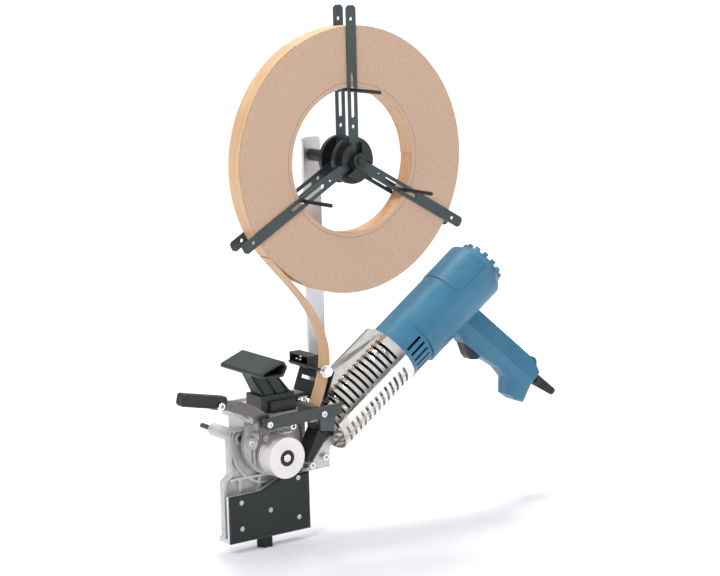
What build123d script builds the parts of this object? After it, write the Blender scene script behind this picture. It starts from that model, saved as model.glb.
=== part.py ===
from build123d import *
from math import cos, sin, sqrt, radians
import os

# Portable edge banding machine.  Millimetres.
# X runs along the panel's edge, Y points away from the operator, Z is up.
# Origin: on the face of the sole, under the pressure roller's axis, level with the panel's edge,
# so the panel fills Y < 0, Z < 0 and the sole rests on its side.

# ---- tape and clearances ---------------------------------------------------------------------
TAPE_WIDTH = 22.0
TAPE_THICKNESS = 0.6
TAPE_OVERHANG = 1.0          # how far the tape's back edge passes the sole's face
RUNNING_FIT = 0.05           # radial clearance of a turning fit
SLIDE_GAP = 0.2              # between flat faces that slide
PIECE_GAP = 0.5              # between pieces of different bodies that never touch
SCREW_FIT = 0.1              # radial clearance around a fixed screw

# ---- sole ------------------------------------------------------------------------------------
SOLE_WIDTH = 108.0
SOLE_CENTRE_X = -8.6
SOLE_BOTTOM = -71.0
SOLE_LEFT_TOP = -16.5
SOLE_RIGHT_TOP = -4.5
SOLE_KNEE_X = -21.9
SOLE_SLOPE_END_X = 8.5
PAD_THICKNESS = 3.0
PAD_BEVEL = 1.8
CARRIER_THICKNESS = 4.0
CARRIER_LEG_DEPTH = 22.0
CARRIER_LEG_THICKNESS = 5.5
SOLE_TRAVEL = 4.0            # either way from the middle
SOLE_SCREW_SPACING = 76.4
SOLE_SCREW_ROWS = (-55.0, -25.0)
SOLE_SCREW_HIGH_ROW = -9.2
SOLE_SCREW_RADIUS = 1.5
SOLE_SCREW_HEAD_RADIUS = 2.9
SOLE_SCREW_HEAD_HEIGHT = 1.4
DOWEL_RADIUS = 3.0
DOWEL_SPACING = 86.0
DOWEL_Z = -40.0
DOWEL_LENGTH = 17.0
KNOB_RADIUS = 9.8
KNOB_HEIGHT = 13.0
KNOB_LOBES = 6
STUD_RADIUS = 3.0
STUD_GRIP = 12.0             # length of stud inside the frame
SLOT_SIDE_PLAY = 0.2         # of the stud in the sole's slot

# ---- main frame ------------------------------------------------------------------------------
FRAME_GAP = 4.5              # from the sole carrier's back to the frame
FRAME_DEPTH = 8.5
WEB_THICKNESS = 3.5
RIM_WIDTH = 3.5
FRAME_WAIST_X = -54.0
FRAME_SHOULDER_Z = 57.0
FRAME_ARM_X = 79.0
FRAME_ARM_BOTTOM = -7.0
FRAME_ARM_TOP = 20.0
FRAME_NECK_X = 48.0
SHELF_X = (-34.0, 26.0)
SHELF_Z = (65.0, 75.0)
SHELF_Y = (-8.0, 58.0)
HOUSING_X = -2.0
HOUSING_Z = 37.0
HOUSING_RADIUS = 37.0
HOUSING_FRONT = 3.0
HOUSING_WALL = 4.0
ROD_X = -37.5
ROD_Z = 45.0
ROD_RADIUS = 3.4
ROD_SPIGOT_RADIUS = 2.9      # of the rod's turned-down end
ROD_SPIGOT_LENGTH = 24.0
ROD_CHAMFER = 0.6
ROD_BOSS_RADIUS = 7.5
ROD_BOSS_END = 71.0
ROD_END = 97.0
CAP_RADIUS = 4.25
CAP_HEIGHT = 5.0
CAP_SHANK = 2.5
CAP_SOCKET = 2.2             # to the corners of the hexagon
HOUSING_SCREW = (-31.0, 40.7)
HOUSING_SCREW_RIGHT = (24.0, 52.0)

# ---- pressure roller -------------------------------------------------------------------------
ROLLER_RADIUS = 23.5
ROLLER_OVERHANG = 3.0        # how far the roller passes the tape's front edge
ROLLER_BACK = -0.6
FLANGE_RADIUS = 24.3
FLANGE_WIDTH = 1.6
BUSH_RADIUS = 9.3
AXLE_RADIUS = 5.0
ROLLER_SCREW_RADIUS = 4.6

# ---- grip and base block ---------------------------------------------------------------------
BLOCK_X = (-24.0, 19.5)
BLOCK_Y = (-15.0, 20.0)
BLOCK_HEIGHT = 20.0
GRIP_LENGTH = 83.0
GRIP_CENTRE_Y = 2.5
GRIP_WALL = 3.2

# ---- cutter ----------------------------------------------------------------------------------
LEVER_FRONT = -18.2
LEVER_THICKNESS = 2.5
LEVER_STROKE = 24.0          # degrees
FULCRUM_X = -24.6
FULCRUM_RADIUS = 2.5
FULCRUM_ABOVE_ROLLER = 2.3
LINK_ARM = 17.2              # from the fulcrum up to the link's pin
LINK_THICKNESS = 3.0
LINK_HEIGHT = 13.4
LINK_END_X = 73.0
LINK_RISE = 3.0
LINK_PIN_RADIUS = 2.6
LINK_SCREW_RADIUS = 2.0
LINK_SCREW = (47.9, 67.3)
LINK_TAPE_GAP = 0.8          # from the tape's front edge to the blade carrier
CARRIER_CHEEK = 3.0
LEVER_SCREW_X = -85.2
LEVER_SCREW_Z = 96.4
LEVER_TIP_X = -131.5
LEVER_TIP_Z = 109.4
BLADE_Z = 57.5
BLADE_EDGE_X = 43.5
BLADE_THICKNESS = 1.2
SHOE_X = (0.0, 12.0)
SHOE_THICKNESS = 1.2
SHOE_HEIGHT = 9.5
SHOE_ABOVE_ROLLER = 3.5
SPRING_RADIUS = 2.9
SPRING_WIRE = 0.55
SPRING_COILS = 13
SPRING_LEVER_END = (-68.0, 92.0)
SPRING_FIXED_END = (-40.5, 69.0)

# ---- tape guide ------------------------------------------------------------------------------
GUIDE_TOP = (67.2, 112.0)
GUIDE_FOOT = (56.0, 82.5)
GUIDE_THICKNESS = 1.5
GUIDE_BACK = 46.0
GUIDE_ROD_X = 55.7
GUIDE_ROD_Z = 114.5
GUIDE_ROD_RADIUS = 1.6
THUMB_RADIUS = 5.6
CHANNEL_Y = (11.0, 50.0)
CHANNEL_HEIGHT = 14.0
WING_Y = 36.0
STRAND_GAP = 0.3             # from the coil's rim to the loose tape where it leaves
STRAND_LEAVES_AT = 221.0     # degrees round the coil
STRAND_SWELL = (12.75, 244.2)  # how far off the coil the loose tape is, and at what angle round it
STRAND_POINTS = [(54.6, 164.0), (62.2, 131.0), (56.9, 99.0), (40.6, 60.0)]
STRAND_STATIONS = 30
CHUTE_EDGE_X = 38.6

# ---- post and reel ---------------------------------------------------------------------------
REEL_X = 101.4
REEL_Z = 348.5
POST_WIDTH = 23.0
POST_THICKNESS = 4.0
POST_FRONT = 62.0
POST_BOTTOM = 64.0
POST_TOP_ABOVE_AXLE = 20.5
POST_BRACKET_THICKNESS = 4.0
COIL_OUTER = 149.6
COIL_INNER = 81.8
AXLE_TUBE_RADIUS = 7.0
SPINDLE_RADIUS = 4.0
HUB_RADIUS = 27.0
HUB_THICKNESS = 7.0
HUB_SLEEVE_RADIUS = 8.6
HUB_FRONT_DEPTH = 6.0        # inside the coil's bore
HUB_LOBE_HEIGHT = 6.5        # in front of the arms
ARM_WIDTH = 12.6
ARM_THICKNESS = 1.6
ARM_TIP = 172.0
ARM_HOLE = 157.0
ARM_ROOT = 9.0
ARM_ANGLES = (90.0, 210.0, 330.0)
ARM_SLOT = (50.0, 96.0)
ARM_CLEARANCE = 0.4          # between an arm and the coil's side
PIN_RADIUS = 2.2
PIN_BORE_GAP = 1.1           # from a pin to the coil's bore
PIN_REACH = 51.4             # of a pin in front of the front arms

# ---- hot-air gun ------------------------------------------------------------------------------
GUN_X = 170.0                # the guard's rear end, on the gun's axis
GUN_Y = 14.0
GUN_Z = 114.0
GUN_TILT = 35.5              # degrees above the panel's edge
GUARD_LENGTH = 121.0
GUARD_RADIUS = 38.5
GUARD_WALL = 1.2
GUARD_SLOTS = 13
GUARD_PITCH = 8.2
GUARD_SLOT_WIDTH = 3.6
GUARD_SLOT_ARCS = [(-85, -40), (-155, -105), (40, 85), (105, 155)]
GUARD_SLANT = 5.0            # how much shorter the guard is on the guide plate's side
BARREL_RADIUS = 17.5
BARREL_WALL = 1.2
SLEEVE_LENGTH = 34.0
SLEEVE_RADIUS = 35.2
SLEEVE_OFFSET = 5.0          # of the sleeve's centre from the guard's axis
BODY_RADIUS = 37.0
BODY_OFFSET = 7.0
BODY_END = 152.0
DOME_HEIGHT = 8.5
DOME_INSET = 7.0
PANEL_START = 101.0          # the raised panel on the side away from the handle
PANEL_EDGE = -8.6
PANEL_HEIGHT = 0.9
PANEL_CORNER = 10.0
GRILLE_RADIUS = 29.2
GRILLE_SPIGOT_RADIUS = 26.5
SHELL_WALL = 3.0
MOTOR_RADIUS = 17.5
MOTOR_RIBS = (98.0, 122.0)
HANDLE_WIDTH = 32.0
HANDLE_ROUNDING = 9.0
HANDLE_FACET = (25.0, 12.0)  # of the handle's rear, down its side and across its back
HANDLE_OUTLINE = [
    (25, 84), (62, 84), (90, 91), (124, 105), (144, 107), (159, 95), (172, 99),
    (183, 106), (174, 128), (172, 149), (156, 154), (64, 131), (25, 140),
]
TRIGGER_X = (63.0, 93.0)
TRIGGER_HALF = 7.0
TRIGGER_BACK = 97.0
TRIGGER_TRAVEL = 5.0
DIAL_PLACE = (158.0, 148.5)
DIAL_RADIUS = 8.5
DIAL_WIDTH = 7.0
BOOT_ROOT = (177.0, 141.0)
BOOT_SLOPE = 19.5            # degrees from straight down the handle
BOOT_LENGTH = 37.0
BOOT_NECK_RADIUS = 4.5
CABLE_RADIUS = 3.2
GUN_SCREW_PLACES = [(108.0, 109.0), (150.0, 122.0), (170.0, 113.0)]
GUN_SCREW_RADIUS = 1.4
GUN_SCREW_SINK = 5.0         # from the handle's side down to the screw head's seat
NOZZLE_WALL = 1.0
NOZZLE_SIDE = 0.5            # wider than the tape, on either side
NOZZLE_MOUTH = 29.4          # side of the square mouth on the barrel
NOZZLE_TIP = (27.6, 14.2)
NOZZLE_THROAT = (50.5, 43.0)
NOZZLE_DEPTH_TIP = 3.0
NOZZLE_DEPTH_THROAT = 15.0
BRACKET_THICKNESS = 3.0

# ---- sizes that follow -----------------------------------------------------------------------
TAPE_BACK = TAPE_OVERHANG
TAPE_FRONT = TAPE_OVERHANG - TAPE_WIDTH
TAPE_MIDDLE = (TAPE_FRONT + TAPE_BACK) / 2
ROLLER_FRONT = TAPE_FRONT - ROLLER_OVERHANG
LINK_FRONT = TAPE_FRONT - LINK_TAPE_GAP - CARRIER_CHEEK - LINK_THICKNESS
FULCRUM_Z = 2 * ROLLER_RADIUS + FULCRUM_ABOVE_ROLLER
SOLE_LEFT = SOLE_CENTRE_X - SOLE_WIDTH / 2
SOLE_RIGHT = SOLE_CENTRE_X + SOLE_WIDTH / 2
CARRIER_BACK = PAD_THICKNESS + CARRIER_THICKNESS
FRAME_FRONT = CARRIER_BACK + FRAME_GAP
FRAME_BACK = FRAME_FRONT + FRAME_DEPTH
FRAME_MIDDLE = (FRAME_FRONT + FRAME_BACK) / 2
FRAME_BOTTOM = SOLE_BOTTOM + CARRIER_LEG_THICKNESS + SLIDE_GAP
ARM_FRONT_FACE = TAPE_FRONT - ARM_CLEARANCE
ARM_BACK_FACE = TAPE_BACK + ARM_CLEARANCE
PIN_CIRCLE = COIL_INNER - PIN_BORE_GAP - PIN_RADIUS
PIN_FRONT = ARM_FRONT_FACE - ARM_THICKNESS - PIN_REACH
HUB_FRONT_BACK = ARM_FRONT_FACE + HUB_FRONT_DEPTH
HUB_FRONT_END = ARM_FRONT_FACE - ARM_THICKNESS - HUB_LOBE_HEIGHT
POST_BRACKET_FRONT = POST_FRONT - POST_BRACKET_THICKNESS
BLOCK_BOTTOM = SHELF_Z[1]
BLOCK_TOP = BLOCK_BOTTOM + BLOCK_HEIGHT
LINK_PIN_X = FULCRUM_X
LINK_PIN_Z = FULCRUM_Z + LINK_ARM
GUN = Plane(
    origin=(GUN_X, GUN_Y, GUN_Z),
    x_dir=(sin(radians(GUN_TILT)), 0, -cos(radians(GUN_TILT))),
    z_dir=(cos(radians(GUN_TILT)), 0, sin(radians(GUN_TILT))),
)


# ---- shape helpers ---------------------------------------------------------------------------
def block(x0, x1, y0, y1, z0, z1):
    """A box between two corners."""
    return Pos((x0 + x1) / 2, (y0 + y1) / 2, (z0 + z1) / 2) * Box(x1 - x0, y1 - y0, z1 - z0)


def rod_y(x, z, radius, y0, y1):
    """A cylinder along Y."""
    return Pos(x, (y0 + y1) / 2, z) * Rot(90, 0, 0) * Cylinder(radius, y1 - y0)


def ring_y(x, z, outer, inner, y0, y1):
    """A tube along Y."""
    return rod_y(x, z, outer, y0, y1) - rod_y(x, z, inner, y0 - 1, y1 + 1)


def prism_y(points, y0, y1):
    """A polygon of (x, z) corners, drawn out along Y."""
    outline = make_face(Polyline(*points, close=True))
    return extrude(Plane.XZ.offset(-y0) * outline, amount=y0 - y1)


def round_y(solid, radius, near, reach):
    """Round the edges along Y that lie within reach of the point near, given as (x, z)."""
    edges = [
        edge
        for edge in solid.edges().filter_by(Axis.Y)
        if sqrt((edge.center().X - near[0]) ** 2 + (edge.center().Z - near[1]) ** 2) < reach
    ]
    return fillet(edges, radius)


def on_gun(shape):
    """Move a shape from the gun's own frame, where Z is its axis, to the machine."""
    return GUN.location * shape


def save(name, shape):
    """Write one sub-part."""
    shape.label = name
    export_step(shape, f"parts/{name}.step")


# ---- sole ------------------------------------------------------------------------------------
def sole_outline():
    return [
        (SOLE_LEFT, SOLE_BOTTOM),
        (SOLE_RIGHT, SOLE_BOTTOM),
        (SOLE_RIGHT, SOLE_RIGHT_TOP),
        (SOLE_SLOPE_END_X, SOLE_RIGHT_TOP),
        (SOLE_KNEE_X, SOLE_LEFT_TOP),
        (SOLE_LEFT, SOLE_LEFT_TOP),
    ]


def sole_screw_places():
    left = SOLE_CENTRE_X - SOLE_SCREW_SPACING / 2
    right = SOLE_CENTRE_X + SOLE_SCREW_SPACING / 2
    low, high = SOLE_SCREW_ROWS
    return [
        (left, low),
        (right, low),
        (left, high),
        (right, SOLE_SCREW_HIGH_ROW),
        (SOLE_CENTRE_X, (low + high) / 2),
    ]


def dowel_places():
    return [(SOLE_CENTRE_X - DOWEL_SPACING / 2, DOWEL_Z), (SOLE_CENTRE_X + DOWEL_SPACING / 2, DOWEL_Z)]


def sole_pad():
    pad = prism_y(sole_outline(), 0, PAD_THICKNESS)
    pad = chamfer(pad.faces().sort_by(Axis.Y)[0].edges(), PAD_BEVEL)
    for x, z in sole_screw_places():
        pad -= rod_y(x, z, SOLE_SCREW_HEAD_RADIUS + SCREW_FIT, -1, SOLE_SCREW_HEAD_HEIGHT + 0.4)
        pad -= rod_y(x, z, SOLE_SCREW_RADIUS + SCREW_FIT, -1, PAD_THICKNESS + 1)
    return pad


def sole_screws():
    screws = []
    for x, z in sole_screw_places():
        head = rod_y(x, z, SOLE_SCREW_HEAD_RADIUS, 0.4, SOLE_SCREW_HEAD_HEIGHT + 0.4)
        socket = rod_y(x, z, SOLE_SCREW_HEAD_RADIUS * 0.4, 0.3, 1.1)
        shank = rod_y(x, z, SOLE_SCREW_RADIUS, SOLE_SCREW_HEAD_HEIGHT + 0.4, CARRIER_BACK - 0.2)
        screws.append(head - socket + shank)
    return Compound(children=screws)


def sole_carrier():
    plate = prism_y(sole_outline(), PAD_THICKNESS, CARRIER_BACK)
    leg_top = SOLE_BOTTOM + CARRIER_LEG_THICKNESS
    leg = block(SOLE_LEFT, SOLE_RIGHT, PAD_THICKNESS, PAD_THICKNESS + CARRIER_LEG_DEPTH, SOLE_BOTTOM, leg_top)
    carrier = plate + leg
    slot_half = STUD_RADIUS + SLOT_SIDE_PLAY
    y0 = FRAME_MIDDLE - SOLE_TRAVEL
    y1 = FRAME_MIDDLE + SOLE_TRAVEL
    z0 = SOLE_BOTTOM - 1
    z1 = leg_top + 1
    carrier -= block(SOLE_CENTRE_X - slot_half, SOLE_CENTRE_X + slot_half, y0, y1, z0, z1)
    for y in (y0, y1):
        carrier -= Pos(SOLE_CENTRE_X, y, (z0 + z1) / 2) * Cylinder(slot_half, z1 - z0)
    for x, z in sole_screw_places():
        carrier -= rod_y(x, z, SOLE_SCREW_RADIUS + SCREW_FIT / 2, PAD_THICKNESS - 1, CARRIER_BACK + 1)
    for x, z in dowel_places():
        carrier -= rod_y(x, z, DOWEL_RADIUS, PAD_THICKNESS + 1, CARRIER_BACK + 1)
    return carrier


def carrier_dowels():
    start = PAD_THICKNESS + 1
    dowels = [rod_y(x, z, DOWEL_RADIUS, start, start + DOWEL_LENGTH) for x, z in dowel_places()]
    return Compound(children=dowels)


def clamp_knob():
    top = SOLE_BOTTOM - SLIDE_GAP
    collar_height = 1.0
    lobe_radius = KNOB_RADIUS * 0.26
    stud_low = top - collar_height / 2
    stud_top = FRAME_BOTTOM + STUD_GRIP
    head = Cylinder(KNOB_RADIUS * 0.78, KNOB_HEIGHT)
    for index in range(KNOB_LOBES):
        turn = Rot(0, 0, index * 360 / KNOB_LOBES)
        head += turn * Pos(KNOB_RADIUS - lobe_radius, 0, 0) * Cylinder(lobe_radius, KNOB_HEIGHT)
    head = Pos(0, 0, top - collar_height - KNOB_HEIGHT / 2) * head
    collar = Pos(0, 0, top - collar_height / 2) * Cylinder(STUD_RADIUS + 2, collar_height)
    stud = Pos(0, 0, (stud_low + stud_top) / 2) * Cylinder(STUD_RADIUS, stud_top - stud_low)
    return Pos(SOLE_CENTRE_X, FRAME_MIDDLE, 0) * (head + collar + stud)


# ---- main frame ------------------------------------------------------------------------------
def frame_outline(inset):
    """The casting's outline; the inset copy bounds its pocket."""
    shelf_top = SHELF_Z[1] - 1
    arm_x = FRAME_ARM_X
    return [
        (SOLE_LEFT + inset, FRAME_BOTTOM + inset),
        (SOLE_RIGHT - inset, FRAME_BOTTOM + inset),
        (SOLE_RIGHT - inset, FRAME_ARM_BOTTOM + inset),
        (arm_x - inset, FRAME_ARM_BOTTOM + inset),
        (arm_x - inset, FRAME_ARM_TOP - inset),
        (FRAME_NECK_X + 8, FRAME_ARM_TOP + 6 - inset),
        (FRAME_NECK_X - inset, FRAME_ARM_TOP + 12 - inset / 2),
        (FRAME_NECK_X - inset, shelf_top - inset),
        (SHELF_X[1] + 8 + inset, shelf_top - inset),
        (SHELF_X[1] + 4 + inset, SHELF_Z[0] - inset),
        (SHELF_X[0] + inset, SHELF_Z[0] - inset),
        (SHELF_X[0] + inset, FRAME_SHOULDER_Z - inset),
        (FRAME_WAIST_X + inset, FRAME_SHOULDER_Z - inset),
        (FRAME_WAIST_X + inset, 6 - inset / 2),
        (SOLE_LEFT + inset, -1.5 - inset / 2),
    ]


def frame_ribs():
    """Ribs standing in the casting's pocket, up to the rim's height."""
    y0 = FRAME_FRONT
    y1 = FRAME_BACK
    ring = ring_y(HOUSING_X, HOUSING_Z, HOUSING_RADIUS + 12, HOUSING_RADIUS + 9, y0 + 1, y1)
    ledge = block(FRAME_WAIST_X, SOLE_RIGHT - 1, y0 + 0.5, y1, -2.5, 0.5)
    ribs = ring + ledge
    for x in (-40.7, -15.0, 20.0):
        ribs += block(x - 1.5, x + 1.5, y0 + 0.5, y1, FRAME_BOTTOM + 1, 0)
    for x, z in dowel_places():
        ribs += rod_y(x, z, DOWEL_RADIUS + 4, y0, y1)
    boss_top = FRAME_BOTTOM + STUD_GRIP + 3
    ribs += block(SOLE_CENTRE_X - 8, SOLE_CENTRE_X + 8, y0, y1 + 1.5, FRAME_BOTTOM, boss_top)
    ribs += rod_y(HOUSING_X, HOUSING_Z, 12, y0 + 1, y1)
    limits = prism_y(frame_outline(0), y0 - 1, y1 + 4)
    return ribs & limits


def main_frame():
    body = prism_y(frame_outline(0), FRAME_FRONT, FRAME_BACK)
    body = round_y(body, 8, (FRAME_WAIST_X, FRAME_SHOULDER_Z), 2)
    pocket = prism_y(frame_outline(RIM_WIDTH), FRAME_FRONT - 1, FRAME_BACK - WEB_THICKNESS)
    body = body - pocket + frame_ribs()
    body += block(SHELF_X[0], SHELF_X[1], SHELF_Y[0], SHELF_Y[1], SHELF_Z[0], SHELF_Z[1])
    body += rod_y(ROD_X, ROD_Z, ROD_BOSS_RADIUS, FRAME_FRONT + 2, ROD_BOSS_END)
    for x in (SHELF_X[0] + 3, SHELF_X[1] - 3):
        body += block(x - 3, x + 3, FRAME_BACK - 1, 44, 20, SHELF_Z[0] + 1)
    body -= rod_y(ROD_X, ROD_Z, ROD_RADIUS, FRAME_FRONT - 1, ROD_BOSS_END + 1)
    for x, z in dowel_places():
        body -= rod_y(x, z, DOWEL_RADIUS + RUNNING_FIT, FRAME_FRONT - 1, FRAME_BACK + 2)
    stud_hole = STUD_GRIP + 1.5
    body -= Pos(SOLE_CENTRE_X, FRAME_MIDDLE, FRAME_BOTTOM + stud_hole / 2 - 0.5) * Cylinder(
        STUD_RADIUS + RUNNING_FIT, stud_hole + 1
    )
    for place in frame_screw_places():
        body -= rod_y(place[0], place[1], CAP_SHANK + SCREW_FIT / 2, FRAME_FRONT - 1, FRAME_BACK + 1)
    body -= post_foot_screw_holes()
    return body


def support_rod():
    """The black rod in the casting's long boss, turned down at its free end."""
    shoulder = ROD_END - ROD_SPIGOT_LENGTH
    rod = rod_y(ROD_X, ROD_Z, ROD_RADIUS - SCREW_FIT / 2, FRAME_FRONT + 0.5, shoulder)
    spigot = rod_y(ROD_X, ROD_Z, ROD_SPIGOT_RADIUS, shoulder, ROD_END)
    spigot = chamfer(spigot.faces().sort_by(Axis.Y)[-1].edges(), ROD_CHAMFER)
    return rod + spigot


# ---- roller housing and pressure roller ------------------------------------------------------
def roller_housing():
    back = FRAME_FRONT - SLIDE_GAP / 2
    cup = rod_y(HOUSING_X, HOUSING_Z, HOUSING_RADIUS, HOUSING_FRONT, back)
    cup -= rod_y(HOUSING_X, HOUSING_Z, HOUSING_RADIUS - HOUSING_WALL, HOUSING_FRONT + HOUSING_WALL, back + 1)
    # The cup is cut level above the sole so that the sole can slide under it.
    cup -= block(-60, 60, -5, back + 1, -10, SOLE_RIGHT_TOP + 5.5)
    cup -= block(-60, 60, -5, back + 1, SHELF_Z[0] - PIECE_GAP, 90)
    cup += rod_y(0, ROLLER_RADIUS, AXLE_RADIUS + 5, HOUSING_FRONT, back)
    screw_x, screw_z = HOUSING_SCREW
    cup += rod_y(screw_x, screw_z, 6.5, HOUSING_FRONT - 5, back)
    cup += rod_y(FULCRUM_X, FULCRUM_Z, FULCRUM_RADIUS + 1.6, LEVER_FRONT + LEVER_THICKNESS + PIECE_GAP, back)
    for offset in (-3.0, 3.0):
        rib_x = screw_x + offset
        cup += block(rib_x - 1, rib_x + 1, HOUSING_FRONT - 3, HOUSING_FRONT + 1, 17, screw_z)
    cup -= rod_y(0, ROLLER_RADIUS, AXLE_RADIUS + SCREW_FIT / 2, -5, back + 1)
    cup -= rod_y(FULCRUM_X, FULCRUM_Z, FULCRUM_RADIUS + SCREW_FIT / 2, -30, back - 1)
    for x, z in housing_screw_places():
        cup -= rod_y(x, z, CAP_SHANK + SCREW_FIT, -20, back + 1)
    hole_front = HOUSING_FRONT - 5 + CAP_HEIGHT
    cup -= rod_y(screw_x, screw_z, CAP_RADIUS + SCREW_FIT, HOUSING_FRONT - 6, hole_front)
    return cup


def housing_screw_places():
    return [HOUSING_SCREW, HOUSING_SCREW_RIGHT]


def bracket_screw_places():
    return [(70.8, 7.3), (52.0, 0.5)]


def frame_screw_places():
    return housing_screw_places() + bracket_screw_places()


def roller_axle():
    axle = rod_y(0, ROLLER_RADIUS, AXLE_RADIUS, ROLLER_FRONT + 2.0, FRAME_FRONT - SLIDE_GAP)
    axle -= rod_y(0, ROLLER_RADIUS, 2.0, ROLLER_FRONT, ROLLER_FRONT + 14)
    return axle


def roller_bush():
    """The black bearing bush between axle and roller, with its front shoulder."""
    bush = rod_y(0, ROLLER_RADIUS, BUSH_RADIUS, ROLLER_FRONT + 0.4, ROLLER_BACK + FLANGE_WIDTH + 0.9)
    return bush - rod_y(0, ROLLER_RADIUS, AXLE_RADIUS + RUNNING_FIT, ROLLER_FRONT - 1, 5)


def press_roller():
    roller = rod_y(0, ROLLER_RADIUS, ROLLER_RADIUS, ROLLER_FRONT, ROLLER_BACK)
    roller = fillet(roller.edges(), 0.8)
    return roller - rod_y(0, ROLLER_RADIUS, BUSH_RADIUS, ROLLER_FRONT - 1, ROLLER_BACK + 1)


def roller_flange():
    start = ROLLER_BACK + 0.9
    return ring_y(0, ROLLER_RADIUS, FLANGE_RADIUS, BUSH_RADIUS, start, start + FLANGE_WIDTH)


def roller_screw():
    front = ROLLER_FRONT - 0.6
    head = rod_y(0, ROLLER_RADIUS, ROLLER_SCREW_RADIUS, front, ROLLER_FRONT + 1.8)
    head = fillet(head.faces().sort_by(Axis.Y)[0].edges(), 0.8)
    head -= block(-0.5, 0.5, front - 1, front + 0.9, ROLLER_RADIUS - 2.6, ROLLER_RADIUS + 2.6)
    head -= block(-2.6, 2.6, front - 1, front + 0.9, ROLLER_RADIUS - 0.5, ROLLER_RADIUS + 0.5)
    return head + rod_y(0, ROLLER_RADIUS, 1.9, ROLLER_FRONT + 1.8, ROLLER_FRONT + 13)


# ---- fasteners -------------------------------------------------------------------------------
def cap_screw(x, z, seat, length):
    """A socket-head screw along Y whose head ends at the seat."""
    head = rod_y(x, z, CAP_RADIUS, seat - CAP_HEIGHT, seat)
    head = chamfer(head.faces().sort_by(Axis.Y)[0].edges(), 0.5)
    socket = extrude(RegularPolygon(CAP_SOCKET, 6), amount=1.3, both=True)
    head -= Pos(x, seat - CAP_HEIGHT + 1.2, z) * Rot(90, 0, 0) * socket
    return head + rod_y(x, z, CAP_SHANK, seat, seat + length)


def cap_screws():
    screws = []
    for x, z in housing_screw_places():
        seat = HOUSING_FRONT - 5 + CAP_HEIGHT if (x, z) == HOUSING_SCREW else HOUSING_FRONT
        screws.append(cap_screw(x, z, seat, FRAME_BACK - seat - 0.5))
    for x, z in bracket_screw_places():
        seat = FRAME_FRONT - BRACKET_THICKNESS - SCREW_FIT
        screws.append(cap_screw(x, z, seat, FRAME_DEPTH + BRACKET_THICKNESS - 0.5))
    for x, z in post_screw_places():
        screws.append(cap_screw(x, z, POST_BRACKET_FRONT - SCREW_FIT, POST_THICKNESS * 2 + 2))
    return Compound(children=screws)


# ---- grip ------------------------------------------------------------------------------------
def grip_section(inset):
    """The wedge-shaped loop of the grip, thick at the right."""
    nose = (-53.0 + inset * 2.6, 122.6 + inset * 0.4)
    top = (-11.0 - inset * 0.4, 138.8 - inset)
    right = (-6.0 - inset, 131.0)
    low = (-12.0 - inset * 0.3, 120.5 + inset)
    return make_face(Polyline(nose, top, right, low, close=True))


def grip_prism(inset, y0, y1, radius):
    solid = extrude(Plane.XZ.offset(-y0) * grip_section(inset), amount=y0 - y1)
    return fillet(solid.edges().filter_by(Axis.Y), radius)


def top_grip():
    y0 = GRIP_CENTRE_Y - GRIP_LENGTH / 2
    y1 = GRIP_CENTRE_Y + GRIP_LENGTH / 2
    loop = grip_prism(0, y0, y1, 3.0)
    stem_low = Pos(-2.0, GRIP_CENTRE_Y, BLOCK_TOP) * Rectangle(38, 22)
    stem_high = Pos(-20.0, GRIP_CENTRE_Y, 122.4) * Rectangle(30, 20)
    stem = loft(Sketch() + [stem_low, stem_high])
    for x in (-17.5, -2.5, 12.5):
        groove_low = Pos(x, GRIP_CENTRE_Y - 12, BLOCK_TOP - 1) * Rectangle(3, 6)
        groove_high = Pos(x - 16, GRIP_CENTRE_Y - 11, 119) * Rectangle(3, 6)
        stem -= loft(Sketch() + [groove_low, groove_high])
    grip = loop + stem
    return grip - grip_prism(GRIP_WALL, y0 - 1, y1 + 1, 1.6)


def base_block():
    body = block(BLOCK_X[0], BLOCK_X[1], BLOCK_Y[0] + 4, BLOCK_Y[1], BLOCK_BOTTOM, BLOCK_TOP)
    body += block(BLOCK_X[0] + 10, BLOCK_X[1], BLOCK_Y[0], BLOCK_Y[0] + 5, BLOCK_BOTTOM, BLOCK_TOP - 7)
    return fillet(body.edges().filter_by(Axis.Y), 1.0)


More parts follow.
